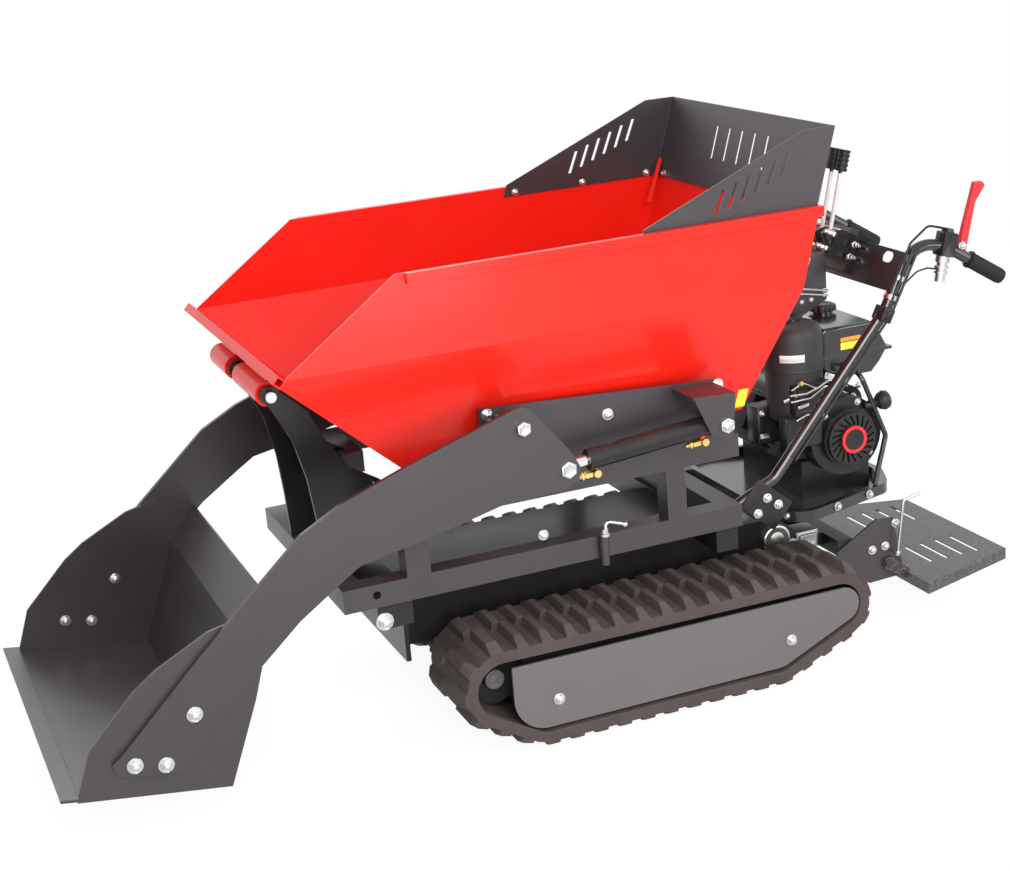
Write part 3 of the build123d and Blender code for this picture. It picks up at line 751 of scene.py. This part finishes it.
low_run = [at(-560, 265, 486), at(-827, 265, 791), at(-899, 265, 928)]
cables = [bent_rod(beside(low_run, 0.0165, -0.004), 0.0032, 0.060, 10),
          bent_rod(beside(low_run, 0.0130, 0.0125), 0.0032, 0.060, 10),
          bent_rod([at(-842, 278, 824), at(-870, 276, 884), at(-892, 272, 938), at(-945, 268, 972),
                    at(-994, 265, 958), at(-1000, 265, 938)], 0.0028, 0.022, 10),
          bent_rod([at(-868, 282, 872), at(-899, 282, 924), at(-940, 280, 934), at(-990, 276, 926)],
                   0.0032, 0.028, 10),
          bent_rod([at(-850, 264, 800), at(-884, 264, 846), at(-915, 265, 868), at(-942, 265, 872),
                    at(-968, 265, 866)], 0.0022, 0.020, 8)]
close_off(join(cables), "handlebar_cables", "chassis", PLASTIC)

band = ring(0.0165, 0.012, 0.0008)
pick_faces(band, lambda c, n: abs(n.z) > 0.9)
inset(0.0014, 0.0)
object_mode()
slope = (at(-903, 265, 935) - at(-827, 265, 791)).normalized()
band_spots = [(at(x, side * 265, z), slope, 1.0) for side in SIDES for x, z in ((-864, 861), (-842, 819))]
place(band, band_spots, "handlebar_bands", "chassis", ZINC)

plug = block((0.030, 0.042, 0.034), spot=at(-820, 268, 783), turn=(0, atan2(slope.x, slope.z), 0))
pick_faces(plug, lambda c, n: n.y > 0.9)
inset(0.007, 0.0)
extrude(0, 0.006, 0)
object_mode()
soften(plug, 0.003, 2)
close_off(plug, "cable_block", "chassis", PLASTIC)
print("cables:", len(cables), "bands:", len(band_spots))

# %% [markdown]
# ## The clutch lever's clamp and the grips
# A black casting is clamped round the tube behind the lever, with a threaded
# plug below it. The grips are moulded rubber with a collar and close ribs. One
# rib is modelled and copied along each grip, so that all of them are alike.

# %% Clamp, plug and ribs
clamp = block((0.036, 0.040, 0.056), spot=at(-994, 265, 921), turn=(0, radians(-14), 0))
pick_faces(clamp, lambda c, n: n.y > 0.9)
inset(0.006, -0.003)
object_mode()
pick_top(clamp)
inset(0.008, 0.0)
extrude(0, 0, 0.010)
object_mode()
soften(clamp, 0.0025, 2)
close_off(clamp, "lever_clamp", "chassis", BLACK)

steps = cylinder(0.012, 0.020, 24)
for rise, grow in ((0.006, -0.003), (0.004, 0.0035), (0.005, -0.0035), (0.004, 0.003), (0.006, -0.003),
                   (0.008, 0.0)):
    top = max(v.co.z for v in steps.data.vertices)
    pick_faces(steps, lambda c, n: n.z > 0.9 and c.z > top - 0.0005)
    extrude(0, 0, 0.0001)
    width = max(hypot(v.co.x, v.co.y) for v in steps.data.vertices if v.co.z > top - 0.0005)
    bpy.ops.transform.resize(value=(1 + grow / width, 1 + grow / width, 1))
    extrude(0, 0, rise)
    object_mode()
place(steps, [(at(-986, 265, 893), (0.18, 0, -1), 1.35)], "lever_plug", "chassis", ZINC)

rib = ring(0.0187, 0.0042, 0.0012, 28)
grip_start, grip_end = at(-1054.2, 265, 877.7), at(-1146, 265, 820)
grip_line = (grip_end - grip_start).normalized()
rib_spots = []
rib_pitch = 0.0078
for side in SIDES:
    for k in range(13):
        spot = grip_start + grip_line * (0.006 + rib_pitch * k)
        rib_spots.append((Vector((spot.x, side * spot.y, spot.z)), grip_line, 1.12 if k == 0 else 1.0))
place(rib, rib_spots, "grip_ribs", "chassis", GRIP)
print("ribs:", len(rib_spots))

# %% [markdown]
# ## Round the engine
# The recoil starter carries a red ring round a blank black disc, with its pull
# handle beside it. The tank has a fluted cap and the filter has wing nuts. All
# are turned or moulded parts, so each starts as a cylinder that is stepped.

# %% Recoil starter: ring, disc and pull handle
recoil_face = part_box("recoil_starter")[1][1]
hub = at(-757, 0, 481) + Vector((0, recoil_face, 0))
rim = cylinder(0.0335, 0.006, 48)
pick_top(rim)
inset(0.0085, 0.0)
extrude(0, 0, -0.003)
object_mode()
soften(rim, 0.0012, 2)
place(rim, [(hub + Vector((0, -0.0015, 0)), LEFT, 1.0)], "starter_ring", "chassis", LEVER)
disc = cylinder(0.0246, 0.0022, 40)
pick_top(disc)
inset(0.0025, -0.0006)
object_mode()
place(disc, [(hub + Vector((0, 0.0012, 0)), LEFT, 1.0)], "starter_disc", "chassis", BLACK)
knob = cylinder(0.0075, 0.020, 24, spot=(0, 0, 0.010))
for rise, size in ((0.006, 1.9), (0.010, 1.25), (0.008, 0.86), (0.004, 0.6)):
    pick_faces(knob, lambda c, n: n.z > 0.9 and c.z > 0.0)
    extrude(0, 0, rise)
    bpy.ops.transform.resize(value=(size, size, 1))
    object_mode()
soften(knob, 0.0015, 2, 25)
place(knob, [(at(-818, 205, 540), (-0.92, 0.25, 0.20), 1.35)], "pull_handle", "chassis", PLASTIC)
print("recoil starter: ring, disc, pull handle")

# %% Tank cap and filter nuts
tank_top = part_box("fuel_tank")[1][2]
cap = cylinder(0.031, 0.014, 36)
pick_top(cap)
inset(0.006, 0.0)
extrude(0, 0, 0.003)
inset(0.010, -0.0015)
object_mode()
soften(cap, 0.0015, 2)
flute = cylinder(0.0042, 0.013, 12)
pick_top(flute)
bpy.ops.transform.resize(value=(0.6, 0.6, 1))
object_mode()
cap_at = Vector((-0.820, 0, tank_top + 0.001))
flute_count, flute_reach = 14, 0.030
flute_turns = [2 * pi * k / flute_count for k in range(flute_count)]
spots = [(cap_at + Vector((cos(turn), sin(turn), 0)) * flute_reach, UP, 1.0) for turn in flute_turns]
flutes = join(copies(flute, spots))
close_off(join(copies(cap, [(cap_at, UP, 1.0)]) + [flutes]), "tank_cap", "chassis", PLASTIC)
bpy.data.objects.remove(cap)
bpy.data.objects.remove(flute)

wing = cylinder(0.008, 0.010, 20)
pick_top(wing)
inset(0.002, 0.003)
object_mode()
for way in (1, -1):
    blade = block((0.018, 0.0035, 0.012), spot=(0.012 * way, 0, 0.006))
    pick_top(blade)
    bpy.ops.transform.resize(value=(0.55, 1, 1))
    object_mode()
    soften(blade, 0.0012, 2)
    wing = join([wing, blade])
filter_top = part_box("air_filter")[1][2]
place(wing, [(Vector((-0.652, 0.141, filter_top - 0.002)), UP, 1.0),
             (at(-606, 152, 752), (0.60, 0.30, 0.75), 0.8)],
      "filter_nuts", "chassis", PLASTIC)
print("tank cap and filter nuts")

# %% The filter: a deep cap that steps in to a dome, over a lower bowl
TEXTURED = finish("Textured filter plastic", (0.028, 0.026, 0.027), 0.50, wear=0.15,
                  worn_colour=(0.10, 0.10, 0.10), tone=0.12, dust=0.08, grain=900.0, bump=0.12,
                  gleam=0.35)
low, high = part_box("air_filter")
middle = (Vector(low) + Vector(high)) / 2
dome_height = 0.072
dome = cylinder(0.0705, dome_height, 64, spot=(middle.x, middle.y, high[2] - dome_height))
for rise, width in ((0.016, 0.0680), (0.010, 0.0630), (0.006, 0.0545), (0.003, 0.0400), (0.001, 0.0180)):
    pick_top(dome)
    now = max(hypot(dome.data.vertices[k].co.x, dome.data.vertices[k].co.y)
              for f in dome.data.polygons if f.normal.z > 0.9 for k in f.vertices)
    extrude(0, 0, rise)
    bpy.ops.transform.resize(value=(width / now, width / now, 1))
    object_mode()
    dome.data.update()
seam_z = high[2] - 0.106
bowl_top = cylinder(0.0730, 0.006, 64, spot=(middle.x, middle.y, seam_z))
soften(bowl_top, 0.0012, 2)
bowl = cylinder(0.0690, seam_z - low[2], 64, spot=(middle.x, middle.y, (seam_z + low[2]) / 2))
pick_faces(bowl, lambda c, n: n.z < -0.9)
bpy.ops.transform.resize(value=(0.93, 0.93, 1))
object_mode()
filter_can = close_off(join([dome, bowl_top, bowl]), "filter_can", "chassis", TEXTURED, 50)
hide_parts("air_filter")
print("filter can height:", round(high[2] - low[2], 3))

# %% [markdown]
# ## The carburettor side
# A small casting stands beside the filter's bowl, and carries the throttle and
# choke links, two hoses, two brass pivots and a few plated tabs. Castings are
# boxes with inset and softened faces, and the links are thin bent rods.

# %% Castings of the carburettor and the cylinder head
casting = block((0.100, 0.026, 0.072), spot=at(-660, 201, 596))
pick_faces(casting, lambda c, n: n.y > 0.9)
inset(0.007, 0.0)
extrude(0, -0.003, 0)
inset(0.008, 0.0)
extrude(0, 0.004, 0)
object_mode()
soften(casting, 0.003, 2)
lower = block((0.120, 0.020, 0.090), spot=at(-640, 196, 514))
pick_faces(lower, lambda c, n: n.y > 0.9)
bpy.ops.transform.resize(value=(0.8, 1, 0.8))
inset(0.010, -0.004)
object_mode()
soften(lower, 0.004, 2)
head = block((0.062, 0.052, 0.092), spot=at(-594, 92, 520))
pick_faces(head, lambda c, n: n.y > 0.9)
inset(0.006, 0.0)
extrude(0, 0.007, 0)
inset(0.009, -0.004)
object_mode()
soften(head, 0.003, 2)
close_off(join([casting, lower, head]), "carburettor_casting", "chassis", BLACK)
print("castings: 3")

# %% Links, hoses, tabs and pivots
links = [bent_rod([at(-597, 218, 614), at(-640, 219, 612), at(-672, 219, 622), at(-700, 217, 634),
                   at(-726, 214, 628)], 0.0026, 0.012, 10),
         bent_rod([at(-600, 218, 626), at(-630, 220, 640), at(-664, 219, 622)], 0.0018, 0.008, 8),
         bent_rod([at(-598, 218, 598), at(-650, 219, 600), at(-690, 218, 622), at(-735, 206, 606)],
                  0.0022, 0.014, 8),
         bent_rod([at(-614, 212, 548), at(-640, 216, 560), at(-676, 212, 552)], 0.0018, 0.008, 8),
         bent_rod([at(-790, 152, 588), at(-748, 156, 612), at(-706, 156, 600)], 0.0022, 0.010, 10),
         bent_rod([at(-806, 150, 560), at(-760, 154, 588), at(-712, 154, 566)], 0.0018, 0.008, 8)]
close_off(join(links), "throttle_links", "chassis", ZINC)
hoses = [bent_rod([at(-705, 196, 650), at(-735, 196, 640), at(-752, 188, 600), at(-735, 182, 556),
                   at(-700, 186, 530)], 0.0042, 0.016, 12),
         bent_rod([at(-625, 132, 500), at(-610, 165, 470), at(-600, 168, 440), at(-640, 150, 420)],
                  0.0036, 0.018, 12)]
close_off(join(hoses), "engine_hoses", "chassis", PLASTIC)
plates = []
for size, spot, lean in (((0.030, 0.003, 0.008), at(-631, 217, 583), 10),
                         ((0.026, 0.004, 0.013), at(-577, 126, 497), 0),
                         ((0.026, 0.004, 0.015), at(-703, 216, 642), -24),
                         ((0.016, 0.003, 0.008), at(-589, 214, 603), 12),
                         ((0.014, 0.004, 0.012), at(-738, 160, 622), 30)):
    tab = block(size, spot=spot, turn=(0, radians(lean), 0))
    pick_faces(tab, lambda c, n: n.y > 0.9)
    inset(0.0012, 0.0006)
    object_mode()
    plates.append(soften(tab, 0.0006, 1))
close_off(join(plates), "engine_tabs", "chassis", ZINC)
pivot = cylinder(0.0075, 0.006, 6)
pick_top(pivot)
inset(0.002, 0.003)
object_mode()
place(pivot, [(at(-625, 219, 640), LEFT, 1.0), (at(-612, 217, 612), LEFT, 0.7)],
      "choke_pivots", "chassis", BRASS)
print("links:", len(links), "tabs:", len(plates))

# %% [markdown]
# ## Valve block fittings
# The three-spool valve has hexagon unions on two faces, a bellows boot under
# each lever, and ribbed knobs so that a glove finds them by feel. A plate below
# it carries three steel pipes.

# %% Unions, boot and knob ribs
union = cylinder(0.0105, 0.012, 6)
pick_top(union)
inset(0.0025, 0.0)
extrude(0, 0, 0.012)
inset(0.0020, 0.0)
extrude(0, 0, 0.010)
object_mode()
soften(union, 0.0006, 1)
LEVER_ROWS = (-16, 22, 60)
panel_out = Vector((0.889, 0, 0.457))
panel_up = Vector((-0.457, 0, 0.889))
face = at(-855, 0, 846) + panel_out * 0.079
spots = [(face + panel_up * up_by + Vector((0, y, 0)), panel_out, 1.0)
         for up_by, y in ((0.030, 0.060), (0.030, 0.022), (0.030, -0.016), (0.066, 0.070), (0.066, -0.026))]
edge = at(-855, 95, 846) + panel_out * 0.030
spots += [(edge + panel_up * up_by + Vector((0, -0.002, 0)), LEFT, 0.9) for up_by in (0.060, 0.030)]
place(union, spots, "valve_unions", "chassis", ZINC)
boot = cylinder(0.015, 0.018, 24)
for size in (0.82, 1.15, 0.80, 1.1):
    pick_top(boot)
    extrude(0, 0, 0.004)
    bpy.ops.transform.resize(value=(size, size, 1))
    object_mode()
soften(boot, 0.0008, 1, 25)
place(boot, [(at(-810, y, 917), (0.25, 0, 1), 0.95) for y in LEVER_ROWS],
      "valve_boots", "chassis", PLASTIC)
rib = ring(0.0146, 0.0048, 0.0012, 24)
knob_low, knob_high = at(-845, 0, 1087), at(-858, 0, 1136)
spots = [(knob_low.lerp(knob_high, part) + Vector((0, y / 1000, 0)), knob_high - knob_low, 1.0)
         for y in LEVER_ROWS for part in (0.08, 0.30, 0.52, 0.74, 0.94)]
place(rib, spots, "knob_ribs", "chassis", GRIP)
print("unions, boots and knob ribs")

# %% The plate under the valve, and its pipes
pipes = [bent_rod([at(-709, 77, 837), at(-719, 77, 869), at(-741, 76, 896)], 0.0090, 0.016, 14),
         bent_rod([at(-692, 71.5, 828), at(-794, 71.5, 808)], 0.0030, 0.010, 10),
         bent_rod([at(-692, 71.5, 816), at(-794, 71.5, 796)], 0.0030, 0.010, 10)]
close_off(join(pipes), "valve_pipes", "chassis", ZINC)
stand = block((0.034, 0.006, 0.172), spot=at(-707, 66, 670))
pick_top(stand)
extrude(0, 0, 0.030)
bpy.ops.transform.resize(value=(3.0, 1, 1), center_override=at(-690, 66, 786))
extrude(0, 0, 0.118)
object_mode()
soften(stand, 0.0015, 2)
close_off(stand, "valve_stand", "chassis", GREY)
nut = ring(0.0055, 0.008, 0.0008, 16)
nut_spots = ((-784, 810), (-784, 798), (-722, 790), (-748, 792))
place(nut, [(at(x, 68, z), LEFT, 1.0) for x, z in nut_spots], "pipe_nuts", "chassis", ZINC)
print("valve plate, pipes:", len(pipes), "nuts:", len(nut_spots))

# %% [markdown]
# ## Gearbox cap and idler caps
# A pressed steel disc closes the gearbox behind the left track, and a smaller
# one closes each idler's bearing. A press leaves a raised ring and a dimple, and
# insets with a small depth give the same steps on one cylinder.

# %% Pressed discs
pressed = cylinder(0.036, 0.010, 48)
pick_top(pressed)
inset(0.005, 0.0015)
inset(0.012, -0.002)
inset(0.009, 0.003)
object_mode()
soften(pressed, 0.0012, 2, 25)
place(pressed, [(at(-580, 155, 243), LEFT, 1.0)], "gearbox_cap", "chassis", ZINC,
      keep=True)
idler_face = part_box("idler_left")[1][1]
place(pressed, [(Vector((0.234, side * idler_face, 0.168)), sideways(side), 0.62) for side in SIDES],
      "idler_caps", "chassis", COVER)
print("caps: 3")

# %% [markdown]
# ## Brackets between the frame, the handlebars and the gearbox
# A folded plate ties the foot of each handlebar to the frame, and the drive
# gearbox hangs under the tray beside its cap. The skip's rear corners carry a
# welded strap. Each is a cut plate or a casting, so each starts as a box that is
# shaped and softened. A bare box would catch no light on its edges.

# %% Handlebar feet, gearbox and corner straps
feet = []
for side in SIDES:
    foot = block((0.112, 0.004, 0.078), spot=at(-486, side * 283, 388), turn=(0, radians(-40), 0))
    feet.append(soften(foot, 0.0012, 2))
close_off(join(feet), "handlebar_feet", "chassis", BLACK)
casing = block((0.062, 0.060, 0.046), spot=at(-668, 122, 222))
pick_faces(casing, lambda c, n: n.y > 0.9)
inset(0.008, 0.0)
extrude(0, 0.008, 0)
inset(0.006, -0.003)
object_mode()
soften(casing, 0.004, 3)
flange = cylinder(0.021, 0.014, 32, spot=at(-622, 150, 214), turn=(radians(90), 0, 0))
pick_faces(flange, lambda c, n: n.y > 0.9)
inset(0.006, 0.003)
object_mode()
close_off(join([casing, soften(flange, 0.0015, 2)]), "gearbox_casing", "chassis", ALLOY)
straps = []
for side in SIDES:
    top, foot = at(-585, side * 368, 1104), at(-528, side * 335, 1004)
    strap = block((0.014, 0.005, (top - foot).length))
    pick_top(strap)
    bpy.ops.transform.resize(value=(0.7, 1, 1))
    object_mode()
    strap.data.transform(Matrix.Translation((top + foot) / 2) @ facing(top - foot))
    straps.append(soften(strap, 0.0012, 2))
close_off(join(straps), "corner_straps", "skip", RED)
print("brackets, gearbox and straps")

# %% [markdown]
# ## Platform latch
# A bent 7 mm rod holds the folded platform, and stands in a ring on its ear.
# It is one bent rod, like the locking pin.

# %% Latch rod
latch = bent_rod([at(-876, 222, 158), at(-893, 226, 298), at(-936, 236, 312)], 0.0034, 0.009, 12)
foot = ring(0.0075, 0.010, 0.0012, 20)
place(foot, [(at(-877, 222, 164), (-0.12, 0.03, 1), 1.0)], "latch_foot", "platform", ZINC)
close_off(latch, "latch_rod", "platform", ZINC)
print("latch rod")

# %% [markdown]
# ## Blank labels
# The real machine carries small warning and type labels. Here each one is a
# thin blank plate in its colour, with rounded corners and no print. On the round
# filter it is a strip of a thin cylinder, so that it follows the curve.

# %% Blank label plates
def label_finish(title, colour):
    return finish(title, colour, 0.35, wear=0.05, worn_colour=colour, tone=0.03, dust=0.04, grain=500.0,
                  bump=0.02)


SILVER = label_finish("Silver label", (0.55, 0.56, 0.56))
YELLOW = label_finish("Yellow label", (0.93, 0.80, 0.05))
ORANGE = label_finish("Orange label", (0.90, 0.33, 0.03))
WHITE = label_finish("White label", (0.78, 0.78, 0.76))


def label(name, width, height, spot, right, up, body, colour):
    """A thin plate with rounded corners, at its place, facing right x up."""
    piece = block((width, height, 0.0006))
    pick_edges(piece, lambda a, b: abs(a.z - b.z) > 0.0004)
    bpy.ops.mesh.bevel(offset=0.0022, segments=3)
    object_mode()
    right, up = Vector(right).normalized(), Vector(up).normalized()
    out = right.cross(up).normalized()
    turn = Matrix((right, out.cross(right), out)).transposed().to_4x4()
    piece.data.transform(Matrix.Translation(Vector(spot)) @ turn)
    return close_off(piece, name, body, colour)


tank_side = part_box("fuel_tank")[1][1] - 0.006
for title, tall, height, colour in (("tank_label_top", 0.010, 0.722, ORANGE),
                                    ("tank_label_low", 0.018, 0.706, YELLOW)):
    label(title, 0.056, tall, (-0.807, tank_side + 0.0006, height), (-1, 0, 0), UP, "chassis", colour)
label("tank_top_label", 0.070, 0.014, (-0.762, 0.0, tank_top - 0.0128), LEFT, (1, 0, 0), "chassis", WHITE)
wall_up = Vector((0, 151, 296)).normalized()
spot = at(-450, 251.9, 645) + Vector((0, 0.0008, -0.0004))
label("skip_label", 0.026, 0.054, spot, (-1, 0, 0), wall_up, "skip", YELLOW)
towards, half_width = 1.02, 0.42
for title, tall, height, colour in (("filter_label_top", 0.008, 700, WHITE),
                                    ("filter_label_low", 0.010, 691, SILVER)):
    strip = cylinder(0.0710, tall, 90, spot=at(-652, 141, height))
    pick_faces(strip, lambda c, n: abs(n.z) > 0.5 or abs(atan2(c.y, c.x) - towards) > half_width)
    bpy.ops.mesh.delete(type="FACE")
    object_mode()
    close_off(strip, title, "chassis", colour)
print("labels: 6")

# %% [markdown]
# ## Floor, light and camera
# A pale floor takes a soft shadow. The camera, and what mirrors in metal, see
# it as nearly white. Four large lamps light the machine evenly, so that a
# colour looks about as it is written.

# %% What the camera sees straight on, in a mirror or through glass
def seen_straight(tree):
    rays = tree.nodes.new("ShaderNodeLightPath")
    seen = math_node(tree, "MAXIMUM", rays.outputs["Is Camera Ray"], rays.outputs["Is Glossy Ray"])
    return math_node(tree, "MAXIMUM", seen, rays.outputs["Is Transmission Ray"])


print("seen_straight ready")

# %% Floor
PAPER_GLOW, PAPER_SHARE = 1.08, 0.86
bpy.ops.object.select_all(action="DESELECT")
bpy.ops.mesh.primitive_plane_add(size=60.0, location=(0, 0, -0.0005))
floor = bpy.context.active_object
floor.name = "studio_floor"
paper = bpy.data.materials.new("Studio paper")
paper.use_nodes = True
tree = paper.node_tree
shader = tree.nodes["Principled BSDF"]
shader.inputs["Base Color"].default_value = (0.9, 0.9, 0.9, 1.0)
shader.inputs["Roughness"].default_value = 0.9
glow = tree.nodes.new("ShaderNodeEmission")
blend = tree.nodes.new("ShaderNodeMixShader")
glow.inputs["Strength"].default_value = PAPER_GLOW
tree.links.new(math_node(tree, "MULTIPLY", seen_straight(tree), PAPER_SHARE), blend.inputs[0])
tree.links.new(shader.outputs[0], blend.inputs[1])
tree.links.new(glow.outputs[0], blend.inputs[2])
tree.links.new(blend.outputs[0], tree.nodes["Material Output"].inputs["Surface"])
floor.data.materials.append(paper)
floor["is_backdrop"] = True
print("floor:", tuple(round(side, 1) for side in floor.dimensions[:2]), "m")

# %% World and lamps
ROOM_LIGHT, SEEN_EXTRA = 0.66, 0.36
world = bpy.data.worlds.new("Studio")
bpy.context.scene.world = world
world.use_nodes = True
tree = world.node_tree
sky = tree.nodes["Background"]
sky.inputs["Color"].default_value = (1.0, 1.0, 1.0, 1.0)
extra = math_node(tree, "MULTIPLY", seen_straight(tree), SEEN_EXTRA)
tree.links.new(math_node(tree, "ADD", extra, ROOM_LIGHT), sky.inputs["Strength"])


def lamp(name, spot, aim, size, power):
    """A large square lamp that looks from a spot at what it aims at."""
    light = bpy.data.lights.new(name, "AREA")
    light.shape = "RECTANGLE"
    light.size, light.size_y = size
    light.energy = power
    holder = bpy.data.objects.new(name, light)
    bpy.context.collection.objects.link(holder)
    holder.location = spot
    holder.rotation_euler = (Vector(aim) - Vector(spot)).to_track_quat("-Z", "Y").to_euler()
    return holder


lamp("key_lamp", (0.8, 4.3, 2.9), (0.0, 0.0, 0.5), (2.6, 2.0), 135)
lamp("fill_lamp", (-3.2, 3.0, 2.0), (0.0, 0.0, 0.6), (2.2, 2.2), 50)
lamp("back_lamp", (0.2, -3.4, 3.0), (0.0, 0.0, 0.7), (3.0, 1.6), 45)
lamp("low_lamp", (0.4, 4.0, 0.5), (0.0, 0.3, 0.7), (3.2, 0.8), 38)
print("lamps:", len(bpy.data.lights))

# %% Camera: at eye height off the front left corner, looking back at the machine
lens = bpy.data.cameras.new("camera")
camera = bpy.data.objects.new("camera", lens)
bpy.context.collection.objects.link(camera)
camera.location = (1.4728, 3.8170, 1.8662)
camera.rotation_euler = (radians(72.7098), radians(4.6509), radians(158.1050))
lens.sensor_width = 36.0
lens.lens = 65.67
lens.shift_x = 0.0059
lens.shift_y = 0.0011
bpy.context.scene.camera = camera
bpy.context.scene.view_settings.view_transform = "Standard"
print("camera lens:", round(lens.lens, 1), "mm")

# %% Measure the box round everything drawn, and finish
low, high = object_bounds()
print("visual size:", [round(b - a, 3) for a, b in zip(low, high)])
